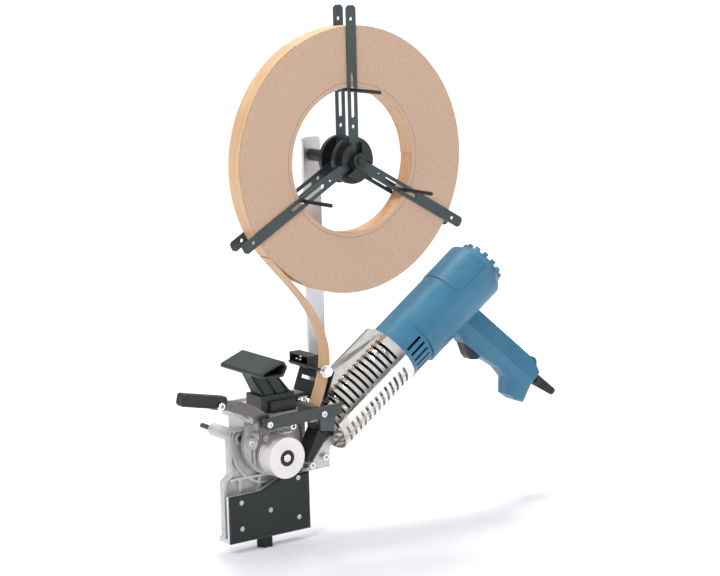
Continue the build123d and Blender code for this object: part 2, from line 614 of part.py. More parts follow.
# ---- cutter ----------------------------------------------------------------------------------
def lever_plate():
    y0 = LEVER_FRONT
    y1 = LEVER_FRONT + LEVER_THICKNESS
    outline = [
        (LEVER_SCREW_X - 5.5, LEVER_SCREW_Z + 7),
        (-52.0, 94.5),
        (-34.0, 86.0),
        (FULCRUM_X + 6.0, LINK_PIN_Z + 8),
        (FULCRUM_X + 6.5, FULCRUM_Z),
        (FULCRUM_X - 6.5, FULCRUM_Z),
        (FULCRUM_X - 8.0, LINK_PIN_Z + 3),
        (-42.0, 75.5),
        (-72.0, 88.0),
        (LEVER_SCREW_X - 7.5, LEVER_SCREW_Z - 4),
    ]
    plate = prism_y(outline, y0, y1)
    plate = round_y(plate, 8, (-34, 86), 2)
    plate = round_y(plate, 6, (-42, 75.5), 2)
    plate += rod_y(FULCRUM_X, FULCRUM_Z, 6.5, y0, y1)
    plate -= rod_y(FULCRUM_X, FULCRUM_Z, FULCRUM_RADIUS + RUNNING_FIT, y0 - 1, y1 + 1)
    # The link's pin slides up this slot as the lever swings.
    drop = LINK_ARM * (1 / cos(radians(LEVER_STROKE)) - 1)
    half = LINK_PIN_RADIUS + 0.3
    slot_low = LINK_PIN_Z - 0.4
    slot_high = LINK_PIN_Z + drop + 0.4
    plate -= block(LINK_PIN_X - half, LINK_PIN_X + half, y0 - 1, y1 + 1, slot_low, slot_high)
    plate -= rod_y(LINK_PIN_X, slot_low, half, y0 - 1, y1 + 1)
    plate -= rod_y(LINK_PIN_X, slot_high, half, y0 - 1, y1 + 1)
    plate -= rod_y(LEVER_SCREW_X, LEVER_SCREW_Z, CAP_SHANK + SCREW_FIT, y0 - 1, y1 + 1)
    plate -= rod_y(SPRING_LEVER_END[0], SPRING_LEVER_END[1], 1.2, y0 - 1, y1 + 1)
    return plate


def lever_grip():
    """The moulded finger bar, a channel that straddles the lever plate's end."""
    across = LEVER_FRONT + LEVER_THICKNESS / 2
    tip = Vector(LEVER_TIP_X, across, LEVER_TIP_Z)
    root = Vector(LEVER_SCREW_X + 8, across, LEVER_SCREW_Z + 1.5)
    along = (root - tip).normalized()
    section_plane = Plane(origin=tip, x_dir=(0, 1, 0), z_dir=along)
    length = (root - tip).length
    bar = extrude(section_plane * RectangleRounded(17, 14.5, 4.5), amount=length)
    bar = fillet(bar.faces().sort_by(Axis.X)[0].edges(), 2.5)
    slot_half = LEVER_THICKNESS / 2 + 0.05
    bar -= block(LEVER_SCREW_X - 12, 0, across - slot_half, across + slot_half, 60, 130)
    bar -= rod_y(LEVER_SCREW_X, LEVER_SCREW_Z, CAP_SHANK + SCREW_FIT, -60, 20)
    bar -= rod_y(LEVER_SCREW_X, LEVER_SCREW_Z, CAP_RADIUS + 0.3, -60, across - 7.0)
    return bar


def lever_screw():
    across = LEVER_FRONT + LEVER_THICKNESS / 2
    return cap_screw(LEVER_SCREW_X, LEVER_SCREW_Z, across - 7.0, 14.5)


def fulcrum_pin():
    front = LEVER_FRONT - 1.0
    head = rod_y(FULCRUM_X, FULCRUM_Z, FULCRUM_RADIUS + 1.2, front, LEVER_FRONT - 0.1)
    return head + rod_y(FULCRUM_X, FULCRUM_Z, FULCRUM_RADIUS, LEVER_FRONT - 0.1, FRAME_FRONT - 2)


def return_spring():
    """Extension spring from the lever plate to the casting's peg."""
    y = LEVER_FRONT + LEVER_THICKNESS + 4.2
    start = Vector(SPRING_LEVER_END[0], y, SPRING_LEVER_END[1])
    end = Vector(SPRING_FIXED_END[0], y, SPRING_FIXED_END[1])
    along = end - start
    length = along.length - 6
    direction = along.normalized()
    base = Plane(origin=start + direction * 3, z_dir=direction, x_dir=(0, 1, 0))
    path = Helix(pitch=length / SPRING_COILS, height=length, radius=SPRING_RADIUS)
    wire_section = Plane(origin=path @ 0, z_dir=path % 0) * Circle(SPRING_WIRE)
    coil = base.location * sweep(wire_section, path=path)
    return coil


def link_bar():
    y0 = LINK_FRONT
    y1 = LINK_FRONT + LINK_THICKNESS
    half = LINK_HEIGHT / 2
    low = LINK_PIN_Z + 0.5
    outline = [
        (LINK_PIN_X, low - half),
        (LINK_END_X, low + LINK_RISE - half + 0.4),
        (LINK_END_X, low + LINK_RISE + half),
        (LINK_PIN_X, low + half),
    ]
    bar = prism_y(outline, y0, y1) + rod_y(LINK_PIN_X, low, half, y0, y1)
    for x, z in link_screw_places():
        bar -= rod_y(x, z, LINK_SCREW_RADIUS + SCREW_FIT, y0 - 1, y1 + 1)
    return bar


def link_screw_places():
    return [(LINK_PIN_X, LINK_PIN_Z), LINK_SCREW]


def link_screws():
    """The link's pin and the screw that holds the blade carrier."""
    back = LINK_FRONT + LINK_THICKNESS
    screws = []
    for x, z in link_screw_places():
        head = rod_y(x, z, 3.9, LINK_FRONT - 2.2, LINK_FRONT)
        head = fillet(head.faces().sort_by(Axis.Y)[0].edges(), 1.0)
        head -= rod_y(x, z, 1.5, LINK_FRONT - 3, LINK_FRONT - 0.8)
        screws.append(head + rod_y(x, z, LINK_SCREW_RADIUS, LINK_FRONT, back + 3.0))
    pin_back = LEVER_FRONT + LEVER_THICKNESS + 0.4
    screws[0] += rod_y(LINK_PIN_X, LINK_PIN_Z, LINK_PIN_RADIUS, back + 0.1, pin_back)
    return Compound(children=screws)


def blade_carrier():
    front = LINK_FRONT + LINK_THICKNESS
    outline = [(44.0, 71.5), (70.5, 71.5), (66.0, 62.0), (63.0, 44.5), (45.5, 47.5)]
    cheek = prism_y(outline, front, front + CARRIER_CHEEK)
    x, z = LINK_SCREW
    return cheek - rod_y(x, z, LINK_SCREW_RADIUS + SCREW_FIT, front - 1, front + CARRIER_CHEEK + 1)


def cutter_blade():
    """A thin blade that runs across the tape's width, sharpened on its left edge."""
    y0 = LINK_FRONT + LINK_THICKNESS + CARRIER_CHEEK
    z0 = BLADE_Z - BLADE_THICKNESS / 2
    z1 = BLADE_Z + BLADE_THICKNESS / 2
    outline = [(BLADE_EDGE_X, z0), (BLADE_EDGE_X + 9, z0), (BLADE_EDGE_X + 9, z1), (BLADE_EDGE_X + 2.5, z1)]
    return prism_y(outline, y0, TAPE_BACK + 1)


def strand_path():
    """The tape's run from the coil to the cutter, as a curve of (x, z)."""
    radius = COIL_OUTER + STRAND_GAP + TAPE_THICKNESS / 2
    angle = radians(STRAND_LEAVES_AT)
    start = (REEL_X + radius * cos(angle), REEL_Z + radius * sin(angle))
    swell, swell_angle = STRAND_SWELL
    bow = (COIL_OUTER + swell) * cos(radians(swell_angle)), (COIL_OUTER + swell) * sin(radians(swell_angle))
    points = [start, (REEL_X + bow[0], REEL_Z + bow[1])] + STRAND_POINTS
    return Spline(*points, tangents=[(-sin(angle), cos(angle)), (-0.40, -0.92)])


def tape_strand():
    """The loose tape: a ribbon of even thickness along the strand's path."""
    path = strand_path()
    sides = ([], [])
    for index in range(STRAND_STATIONS + 1):
        place = path @ (index / STRAND_STATIONS)
        along = path % (index / STRAND_STATIONS)
        for side, sign in zip(sides, (-1, 1)):
            shift = sign * TAPE_THICKNESS / 2
            side.append((place.X - along.Y * shift, place.Y + along.X * shift))
    left, right = sides
    outline = Spline(*left) + Line(left[-1], right[-1]) + Spline(*right) + Line(left[0], right[0])
    face = make_face(outline)
    return extrude(Plane.XZ.offset(-TAPE_FRONT) * face, amount=-TAPE_WIDTH)


def tape_chute():
    """Bright steel block left of the tape, whose lower edge the blade shears against."""
    z0 = BLADE_Z + BLADE_THICKNESS / 2 + SLIDE_GAP
    outline = [(34.0, z0), (CHUTE_EDGE_X, z0), (CHUTE_EDGE_X + 6.6, z0 + 17.5), (37.0, z0 + 17.5)]
    return prism_y(outline, TAPE_FRONT - 0.3, FRAME_FRONT - SLIDE_GAP)


def feed_shoe():
    """Spring-steel tongue over the roller that keeps the tape down."""
    z0 = 2 * ROLLER_RADIUS + SHOE_ABOVE_ROLLER
    back = HOUSING_FRONT - SCREW_FIT
    tongue = block(SHOE_X[0], SHOE_X[1], TAPE_FRONT + 4, back, z0, z0 + SHOE_THICKNESS)
    foot = block(SHOE_X[0], SHOE_X[1], back - SHOE_THICKNESS, back, z0, z0 + SHOE_HEIGHT)
    return tongue + foot


# ---- tape guide ------------------------------------------------------------------------------
def guide_plate():
    top_x, top_z = GUIDE_TOP
    foot_x, foot_z = GUIDE_FOOT
    t = GUIDE_THICKNESS
    face = [(foot_x, foot_z), (top_x, top_z), (top_x + t, top_z), (foot_x + t, foot_z)]
    plate = prism_y(face, TAPE_FRONT, GUIDE_BACK)
    shelf_top = SHELF_Z[1] - 1
    y0 = FRAME_FRONT
    y1 = FRAME_BACK
    plate += block(38, foot_x + t, y0, y1, foot_z - t / 2, foot_z + t / 2)
    plate += block(38, 38 + t, y0, y1, shelf_top + 0.1, foot_z)
    plate += block(38, 46, y0, y1, shelf_top + 0.1, shelf_top + 0.1 + t)
    middle_x = (top_x + foot_x) / 2
    middle_z = (top_z + foot_z) / 2 + 1
    return plate - block(middle_x - 12, middle_x + 12, 8, 38, middle_z - 2, middle_z + 2)


def guide_channel():
    """U-channel along Y that carries the guide rod; its web is on the right."""
    x0 = GUIDE_TOP[0] - 12.5
    x1 = GUIDE_TOP[0] + GUIDE_THICKNESS
    z0 = GUIDE_TOP[1] + 0.1
    z1 = z0 + CHANNEL_HEIGHT
    t = GUIDE_THICKNESS
    y0, y1 = CHANNEL_Y
    channel = block(x0, x1, y0, y1, z0, z1) - block(x0 - 1, x1 - t, y0 + t, y1 - t, z0 + t, z1 - t)
    channel -= rod_y(GUIDE_ROD_X, GUIDE_ROD_Z, GUIDE_ROD_RADIUS + RUNNING_FIT, y0 - 1, y1 + 1)
    stud = Pos(x1 - t - 5, WING_Y, (z0 + z1) / 2) * Rot(0, 90, 0) * Cylinder(2.0, 10)
    return channel + stud


def wing_nut():
    x = GUIDE_TOP[0] - 3.6
    z = GUIDE_TOP[1] + 0.1 + CHANNEL_HEIGHT / 2
    hub = Cylinder(3.4, 5)
    hub += Pos(0, 3.9, 3.0) * Box(1.6, 2.6, 6.0)
    hub += Pos(0, -3.9, 3.0) * Box(1.6, 2.6, 6.0)
    hub -= Cylinder(2.0 + RUNNING_FIT, 12)
    return Pos(x, WING_Y, z) * Rot(0, -90, 0) * hub


def guide_rod():
    return rod_y(GUIDE_ROD_X, GUIDE_ROD_Z, GUIDE_ROD_RADIUS, TAPE_FRONT - 4.5, CHANNEL_Y[1] + 1.5)


def thumb_screw():
    """Knurled stop and screw on the guide rod's front end; it bounds the tape's front edge."""
    back = TAPE_FRONT - 0.8
    stop = rod_y(GUIDE_ROD_X, GUIDE_ROD_Z, THUMB_RADIUS + 1.6, back - 2.6, back)
    stop += rod_y(GUIDE_ROD_X, GUIDE_ROD_Z, THUMB_RADIUS, back - 6.5, back - 2.6)
    stop -= rod_y(GUIDE_ROD_X, GUIDE_ROD_Z, GUIDE_ROD_RADIUS, TAPE_FRONT - 4.5, back + 1)
    return stop


# ---- post and reel ---------------------------------------------------------------------------
def post_screw_places():
    return [(REEL_X, 73.0), (REEL_X, 92.0)]


def shelf_screw_places():
    return [(SHELF_X[0] + 12, 71.0), (SHELF_X[1] - 8, 71.0)]


def post_foot_screw_holes():
    holes = Part()
    for x, z in shelf_screw_places():
        holes += rod_y(x, z, CAP_SHANK + SCREW_FIT / 2, SHELF_Y[1] - 14, SHELF_Y[1] + 1)
    return holes


def post_bracket():
    left = SHELF_X[0] + 4
    right = REEL_X + POST_WIDTH / 2
    post_left = REEL_X - POST_WIDTH / 2
    outline = [(left, 66), (right, 66), (right, 100), (post_left, 100), (post_left - 4, 78), (left, 78)]
    plate = prism_y(outline, POST_BRACKET_FRONT, POST_FRONT)
    for x, z in post_screw_places() + shelf_screw_places():
        plate -= rod_y(x, z, CAP_SHANK + SCREW_FIT, POST_BRACKET_FRONT - 1, POST_FRONT + 1)
    return plate


def reel_post():
    half = POST_WIDTH / 2
    top = REEL_Z + POST_TOP_ABOVE_AXLE
    post = block(REEL_X - half, REEL_X + half, POST_FRONT, POST_FRONT + POST_THICKNESS, POST_BOTTOM, top)
    post = round_y(post, 5, (REEL_X, top), half + 1)
    for x, z in post_screw_places():
        post -= rod_y(x, z, CAP_SHANK + SCREW_FIT, POST_FRONT - 1, POST_FRONT + POST_THICKNESS + 1)
    back = POST_FRONT + POST_THICKNESS
    return post - rod_y(REEL_X, REEL_Z, SPINDLE_RADIUS + SCREW_FIT / 2, POST_FRONT - 1, back + 1)


def reel_spindle():
    return rod_y(REEL_X, REEL_Z, SPINDLE_RADIUS, HUB_FRONT_END - 5.0, POST_FRONT + POST_THICKNESS + 9)


def axle_spacer():
    """The black tube that holds the reel off the post."""
    y0 = ARM_BACK_FACE + ARM_THICKNESS + HUB_THICKNESS + SLIDE_GAP
    return ring_y(REEL_X, REEL_Z, AXLE_TUBE_RADIUS, SPINDLE_RADIUS + SCREW_FIT / 2, y0, POST_FRONT)


def axle_nut():
    y0 = POST_FRONT + POST_THICKNESS
    nut = Plane.XZ.offset(-y0 - 1.2) * RegularPolygon(7.5, 6)
    nut = Pos(REEL_X, 0, REEL_Z) * extrude(nut, amount=-6)
    washer = rod_y(REEL_X, REEL_Z, 8.5, y0, y0 + 1.2)
    return nut + washer - rod_y(REEL_X, REEL_Z, SPINDLE_RADIUS + SCREW_FIT / 4, y0 - 1, y0 + 10)


def reel_arm(angle, y0, extra_hole):
    length = ARM_TIP - ARM_ROOT
    arm = Pos(ARM_ROOT + length / 2, 0, 0) * Box(length, ARM_THICKNESS, ARM_WIDTH)
    arm = chamfer(arm.edges().filter_by(Axis.Y).group_by(Axis.X)[-1], 3.0)
    inner, outer = ARM_SLOT
    half = PIN_RADIUS + SCREW_FIT
    arm -= Pos((inner + outer) / 2, 0, 0) * Box(outer - inner, ARM_THICKNESS + 2, half * 2)
    holes = [inner, outer, 38.0, ARM_HOLE] + ([ARM_HOLE - 12.0] if extra_hole else [])
    for radius in holes:
        size = half if radius in ARM_SLOT else 2.1
        arm -= Pos(radius, 0, 0) * Rot(90, 0, 0) * Cylinder(size, ARM_THICKNESS + 2)
    return Pos(REEL_X, y0 + ARM_THICKNESS / 2, REEL_Z) * Rot(0, -angle, 0) * arm


def front_arms():
    return Compound(children=[reel_arm(angle, ARM_FRONT_FACE - ARM_THICKNESS, False) for angle in ARM_ANGLES])


def rear_arms():
    return Compound(children=[reel_arm(angle, ARM_BACK_FACE, True) for angle in ARM_ANGLES])


def reel_pins():
    """Rods in the arm slots that bear on the coil's bore, held by the rear arms."""
    back = ARM_BACK_FACE + ARM_THICKNESS
    pins = []
    for angle in ARM_ANGLES:
        x = REEL_X + PIN_CIRCLE * cos(radians(angle))
        z = REEL_Z + PIN_CIRCLE * sin(radians(angle))
        pin = rod_y(x, z, PIN_RADIUS, PIN_FRONT, back + 0.1)
        pins.append(pin + rod_y(x, z, PIN_RADIUS + 1.4, back + 0.1, back + 4))
    return Compound(children=pins)


def hub_rear():
    """Rear disc and the sleeve that turns on the spindle through the coil's middle."""
    y0 = ARM_BACK_FACE + ARM_THICKNESS
    disc = rod_y(REEL_X, REEL_Z, HUB_RADIUS, y0, y0 + HUB_THICKNESS)
    disc = chamfer(disc.faces().sort_by(Axis.Y)[-1].edges(), 1.5)
    sleeve = rod_y(REEL_X, REEL_Z, HUB_SLEEVE_RADIUS, HUB_FRONT_BACK + PIECE_GAP, y0)
    return disc + sleeve - rod_y(REEL_X, REEL_Z, SPINDLE_RADIUS + RUNNING_FIT, -60, 60)


def hub_front():
    """Front disc behind the arms, with three lobes that stand up between them."""
    disc = rod_y(REEL_X, REEL_Z, HUB_RADIUS - 0.5, ARM_FRONT_FACE, HUB_FRONT_BACK)
    lobes = rod_y(REEL_X, REEL_Z, HUB_RADIUS - 6, HUB_FRONT_END, ARM_FRONT_FACE)
    half = ARM_WIDTH / 2 + 0.1
    for angle in ARM_ANGLES:
        channel = Pos(25, 0, 0) * Box(50 - 2 * (ARM_ROOT - 0.3) + 20, 40, half * 2)
        channel = Pos(ARM_ROOT - 0.3, 0, 0) * channel
        channel &= Pos(60 + ARM_ROOT - 0.3, 0, 0) * Box(120, 40, 40)
        lobes -= Pos(REEL_X, ARM_FRONT_FACE - 20, REEL_Z) * Rot(0, -angle, 0) * channel
    hub = disc + lobes
    return hub - rod_y(REEL_X, REEL_Z, SPINDLE_RADIUS + RUNNING_FIT, -80, 10)


def hub_knob():
    """Collar and screw that clamp the front arms."""
    y1 = HUB_FRONT_END - 0.1
    collar = rod_y(REEL_X, REEL_Z, 9.0, y1 - 6.5, y1)
    collar = chamfer(collar.faces().sort_by(Axis.Y)[0].edges(), 1.0)
    screw = rod_y(REEL_X, REEL_Z, 4.6, y1 - 9.5, y1 - 6.5)
    screw = chamfer(screw.faces().sort_by(Axis.Y)[0].edges(), 0.8)
    knob = collar + screw
    return knob - rod_y(REEL_X, REEL_Z, SPINDLE_RADIUS + RUNNING_FIT, y1 - 5.2, y1 + 1)


def tape_coil():
    return ring_y(REEL_X, REEL_Z, COIL_OUTER, COIL_INNER, TAPE_FRONT, TAPE_BACK)


# ---- hot-air gun, in its own frame: Z is the axis toward the rear, X is the handle's side ---------------
def gun_solid(inset):
    """The housing's outer form, or its hollow when inset by the wall."""
    radius = BODY_RADIUS - inset
    start = SLEEVE_LENGTH + inset
    body = Pos(BODY_OFFSET, 0, (start + BODY_END) / 2) * Cylinder(radius, BODY_END - start)
    on_floor = (Align.CENTER, Align.CENTER, Align.MIN)
    dome = Cone(radius, radius - DOME_INSET, DOME_HEIGHT - inset, align=on_floor)
    body += Pos(BODY_OFFSET, 0, BODY_END) * dome
    return body + handle_solid(inset)


def handle_solid(inset):
    """The handle: rounded at its front, with a broad slanting facet on either side of its rear."""
    face = make_face(Polyline(*HANDLE_OUTLINE, close=True))
    if inset:
        face = offset(face, amount=-inset, kind=Kind.INTERSECTION)
    half = HANDLE_WIDTH / 2 - inset
    handle = extrude(Plane.XZ.offset(-half) * face, amount=2 * half)
    rear_low, rear_high = HANDLE_OUTLINE[-3:-1]
    along = (rear_low[0] - rear_high[0], 0, rear_low[1] - rear_high[1])
    rear = Plane(origin=(rear_high[0], 0, rear_high[1]), x_dir=(0, 1, 0), z_dir=along)
    deep, across = HANDLE_FACET
    ridge = -inset - deep
    section = [(half, -200), (half, ridge), (half - across, -inset)]
    section += [(across - half, -inset), (-half, ridge), (-half, -200)]
    handle &= extrude(rear.offset(-300) * make_face(Polyline(*section, close=True)), amount=600)
    front_edges = []
    for edge in handle.edges():
        middle = edge.center()
        on_side = abs(middle.Y) > half - 0.1 and middle.X > 30
        if on_side and rear.to_local_coords(middle).Y < ridge - 0.5:
            front_edges.append(edge)
    return fillet(front_edges, HANDLE_ROUNDING - inset)


def side_panel():
    """The raised panel over the motor, with a rounded front corner on either side."""
    length = BODY_END - PANEL_START
    layer = Cylinder(BODY_RADIUS + PANEL_HEIGHT, length) - Cylinder(BODY_RADIUS - 1, length)
    layer = Pos(BODY_OFFSET, 0, PANEL_START + length / 2) * layer
    window = block(PANEL_EDGE - 100, PANEL_EDGE, -60, 60, PANEL_START, BODY_END + PANEL_CORNER + 1)
    corner = [
        edge
        for edge in window.edges().filter_by(Axis.Y)
        if abs(edge.center().X - PANEL_EDGE) < 0.1 and edge.center().Z < BODY_END
    ]
    return layer & fillet(corner, PANEL_CORNER)


def gun_shells():
    """The two halves of the gun's casing, split down the middle of the handle."""
    outside = gun_solid(0)
    casing = outside + side_panel() - gun_solid(SHELL_WALL)
    casing -= Pos(SLEEVE_OFFSET, 0, SLEEVE_LENGTH) * Cylinder(SLEEVE_RADIUS - 2 * SHELL_WALL, 3 * SHELL_WALL)
    casing -= Pos(BODY_OFFSET, 0, BODY_END + DOME_HEIGHT) * Cylinder(GRILLE_SPIGOT_RADIUS + 0.1, 12)
    for z in MOTOR_RIBS:
        rib = Cylinder(BODY_RADIUS - SHELL_WALL + 0.5, 2) - Cylinder(MOTOR_RADIUS + RUNNING_FIT, 4)
        casing += Pos(BODY_OFFSET, 0, z) * rib
    wide = TRIGGER_HALF + PIECE_GAP
    room_end = TRIGGER_BACK + TRIGGER_TRAVEL + PIECE_GAP
    casing -= block(TRIGGER_X[0] - PIECE_GAP, TRIGGER_X[1] + PIECE_GAP, -wide, wide, 74, room_end)
    dial_hole = Cylinder(DIAL_RADIUS + PIECE_GAP, DIAL_WIDTH + 2 * PIECE_GAP)
    casing -= Pos(DIAL_PLACE[0], 0, DIAL_PLACE[1]) * Rot(90, 0, 0) * dial_hole
    casing -= boot_location() * Pos(0, 0, -8) * Cylinder(BOOT_NECK_RADIUS + 0.1, 16)
    post_length = HANDLE_WIDTH - SHELL_WALL
    for x, z in GUN_SCREW_PLACES:
        casing += outside & Pos(x, 0, z) * Rot(90, 0, 0) * Cylinder(GUN_SCREW_RADIUS + 2.2, post_length)
        casing -= Pos(x, 0, z) * Rot(90, 0, 0) * Cylinder(GUN_SCREW_RADIUS + SCREW_FIT, post_length)
        head_hole = Cylinder(GUN_SCREW_RADIUS * 2 + SCREW_FIT, GUN_SCREW_SINK)
        casing -= Pos(x, (HANDLE_WIDTH - GUN_SCREW_SINK) / 2, z) * Rot(90, 0, 0) * head_hole
    front = casing & Pos(0, -50, 100) * Box(500, 100, 500)
    back = casing & Pos(0, 50, 100) * Box(500, 100, 500)
    return on_gun(front), on_gun(back)


def gun_screws():
    """Screws that join the casing's halves, put in from the back."""
    screws = []
    head_start = HANDLE_WIDTH / 2 - GUN_SCREW_SINK
    tail = -HANDLE_WIDTH / 2 + SHELL_WALL
    for x, z in GUN_SCREW_PLACES:
        head = Pos(x, head_start + 1, z) * Rot(90, 0, 0) * Cylinder(GUN_SCREW_RADIUS * 2, 2)
        head -= Pos(x, head_start + 2, z) * Box(3.6, 1.6, 0.7)
        shank = Rot(90, 0, 0) * Cylinder(GUN_SCREW_RADIUS, head_start - tail)
        shank = Pos(x, (head_start + tail) / 2, z) * shank
        screws.append(on_gun(head + shank))
    return Compound(children=screws)


def boot_location():
    """Where the cable leaves the handle, pointing away from it."""
    slope = radians(BOOT_SLOPE)
    plane = Plane(origin=(BOOT_ROOT[0], 0, BOOT_ROOT[1]), x_dir=(0, 1, 0), z_dir=(cos(slope), 0, sin(slope)))
    return plane.location


def cable_boot():
    """Strain relief at the foot of the handle, open at its end for the mains lead."""
    boot = Cone(7.5, 4.6, BOOT_LENGTH, align=(Align.CENTER, Align.CENTER, Align.MIN))
    for index in range(6):
        boot -= Pos(0, 0, 12 + index * 4.2) * (Cylinder(9, 1.4) - Cylinder(4.4, 3))
    boot += Pos(0, 0, -5) * Cylinder(BOOT_NECK_RADIUS, 10)
    boot -= Pos(0, 0, BOOT_LENGTH) * Cylinder(CABLE_RADIUS, 24)
    return on_gun(boot_location() * boot)


def gun_sleeve():
    """Front collar of the casing with its cooling vents."""
    sleeve = Pos(0, 0, SLEEVE_LENGTH / 2) * Cylinder(SLEEVE_RADIUS, SLEEVE_LENGTH)
    sleeve -= Pos(0, 0, SLEEVE_LENGTH / 2 + 3) * Cylinder(SLEEVE_RADIUS - SHELL_WALL, SLEEVE_LENGTH)
    for angle in (51, 65, 79, 93, 107):
        for side in (-1, 1):
            vent = Pos(SLEEVE_RADIUS - 1, 0, 18) * Box(8, 3.4, 23)
            sleeve -= Rot(0, 0, side * angle) * vent
    sleeve = Pos(SLEEVE_OFFSET, 0, 0) * sleeve
    return on_gun(sleeve - Cylinder(BARREL_RADIUS + SCREW_FIT, 10))


def rear_grille():
    """Castellated air inlet that plugs into the casing's rear."""
    ring = Pos(0, 0, 1.2) * Cylinder(GRILLE_RADIUS, 2.0) + Pos(0, 0, -2.5) * Cylinder(GRILLE_SPIGOT_RADIUS, 6)
    ring -= Pos(0, 0, -1.0) * Cylinder(GRILLE_SPIGOT_RADIUS - 2.5, 8)
    ring += Pos(0, 0, -3.0) * Cylinder(GRILLE_SPIGOT_RADIUS - 2, 2)
    for index in range(14):
        ring += Rot(0, 0, index * 360 / 14) * Pos(GRILLE_RADIUS - 2.2, 0, 4) * Box(4, 6.0, 5)
    for index in range(8):
        ring -= Rot(0, 0, index * 45) * Pos(13, 0, -3) * Box(14, 3.2, 4)
    return on_gun(Pos(BODY_OFFSET, 0, BODY_END + DOME_HEIGHT) * ring)


def heater_tube():
    length = GUARD_LENGTH + SLEEVE_LENGTH - 4
    tube = Cylinder(BARREL_RADIUS, length) - Cylinder(BARREL_RADIUS - BARREL_WALL, length + 2)
    tube = Pos(0, 0, -GUARD_LENGTH + length / 2) * tube
    return on_gun(tube)


def heater_core():
    """Ceramic core with its lengthwise air passages."""
    core = Cylinder(BARREL_RADIUS - BARREL_WALL - 0.5, 90)
    for index in range(8):
        core -= Rot(0, 0, index * 45) * Pos(10.5, 0, 0) * Cylinder(2.6, 92)
    return on_gun(Pos(0, 0, -50) * core)


def gun_motor():
    motor = Pos(0, 0, 108) * Cylinder(MOTOR_RADIUS, 46) + Pos(0, 0, 78) * Cylinder(8, 16)
    shaft = Pos(0, 0, 66) * Cylinder(2.5, 26)
    return on_gun(Pos(BODY_OFFSET, 0, 0) * (motor + shaft))


def gun_fan():
    fan = Pos(0, 0, 60) * Cylinder(29, 2) + Pos(0, 0, 63) * Cylinder(6, 8)
    for index in range(9):
        fan += Rot(0, 0, index * 40) * Pos(19, 0, 63.5) * Rot(0, 0, 25) * Box(18, 1.4, 6)
    fan -= Pos(0, 0, 63) * Cylinder(2.5 + RUNNING_FIT, 20)
    return on_gun(Pos(BODY_OFFSET, 0, 0) * fan)


def trigger():
    x0, x1 = TRIGGER_X
    outline = [(x0, TRIGGER_BACK), (x0, 84), (x0 + 16, 80), (x0 + 23, 80.5), (x1, 88), (x1, TRIGGER_BACK)]
    face = make_face(Polyline(*outline, close=True))
    lever = extrude(Plane.XZ.offset(-TRIGGER_HALF) * face, amount=2 * TRIGGER_HALF)
    return on_gun(fillet(lever.edges().filter_by(Axis.Y), 1.0))


def temperature_dial():
    wheel = Cylinder(DIAL_RADIUS, DIAL_WIDTH)
    for index in range(16):
        wheel -= Rot(0, 0, index * 22.5) * Pos(DIAL_RADIUS + 0.3, 0, 0) * Cylinder(0.8, DIAL_WIDTH + 1)
    return on_gun(Pos(DIAL_PLACE[0], 0, DIAL_PLACE[1]) * Rot(90, 0, 0) * wheel)


def hot_guard():
    """Slotted steel tube around the heater, hung on the sleeve by its rear ring."""
    guard = Cylinder(GUARD_RADIUS, GUARD_LENGTH) - Cylinder(GUARD_RADIUS - GUARD_WALL, GUARD_LENGTH + 2)
    guard = Pos(0, 0, -GUARD_LENGTH / 2) * guard
    for index in range(GUARD_SLOTS):
        z = -GUARD_LENGTH + 10 + index * GUARD_PITCH
        ring = Cylinder(GUARD_RADIUS + 1, GUARD_SLOT_WIDTH) - Cylinder(GUARD_RADIUS - 4, GUARD_SLOT_WIDTH + 1)
        for start, end in GUARD_SLOT_ARCS:
            wedge = ring & slot_wedge(start, end)
            guard -= Pos(0, 0, z) * wedge
    slant = [(-60, -GUARD_LENGTH - 9), (60, -GUARD_LENGTH - 9), (GUARD_RADIUS, -GUARD_LENGTH)]
    slant += [(-GUARD_RADIUS, -GUARD_LENGTH + GUARD_SLANT), (-60, -GUARD_LENGTH + GUARD_SLANT)]
    guard -= extrude(Plane.XZ.offset(-60) * make_face(Polyline(*slant, close=True)), amount=120)
    rear = Cylinder(GUARD_RADIUS - GUARD_WALL + 0.1, 2.0) - Cylinder(BARREL_RADIUS + SCREW_FIT, 4)
    rear = Pos(0, 0, -1.0) * rear
    for index in range(6):
        rear -= Rot(0, 0, index * 60) * Pos(27, 0, -1) * Cylinder(6, 6)
    return on_gun(guard + rear)


def slot_wedge(start, end):
    """A pie slice between two angles, for slots under half a turn."""
    far = 80
    a = radians(start)
    b = radians(end)
    points = [(0, 0), (far * cos(a), far * sin(a)), (far * cos(b), far * sin(b))]
    return Pos(0, 0, -10) * extrude(make_face(Polyline(*points, close=True)), amount=20)


def nozzle_section(centre, depth, inset, direction):
    plane = Plane(origin=(centre[0], TAPE_MIDDLE, centre[1]), x_dir=(0, 1, 0), z_dir=direction)
    return plane * Rectangle(TAPE_WIDTH + 2 * NOZZLE_SIDE - 2 * inset, depth - 2 * inset)


def nozzle():
    """Flat nozzle that lays the hot air across the tape, joined to the round barrel."""
    tip_x, tip_z = NOZZLE_TIP
    throat_x, throat_z = NOZZLE_THROAT
    flow = (tip_x - throat_x, 0, tip_z - throat_z)
    layers = []
    for inset in (0, NOZZLE_WALL):
        tip = nozzle_section(NOZZLE_TIP, NOZZLE_DEPTH_TIP, inset, flow)
        throat = nozzle_section(NOZZLE_THROAT, NOZZLE_DEPTH_THROAT, inset, flow)
        side = NOZZLE_MOUTH - 2 * inset
        mouth = on_gun(Pos(0, 0, -GUARD_LENGTH - 0.1) * Rectangle(side, side))
        layers.append(loft(Sketch() + [tip, throat]) + loft(Sketch() + [throat, mouth]))
    return layers[0] - layers[1]


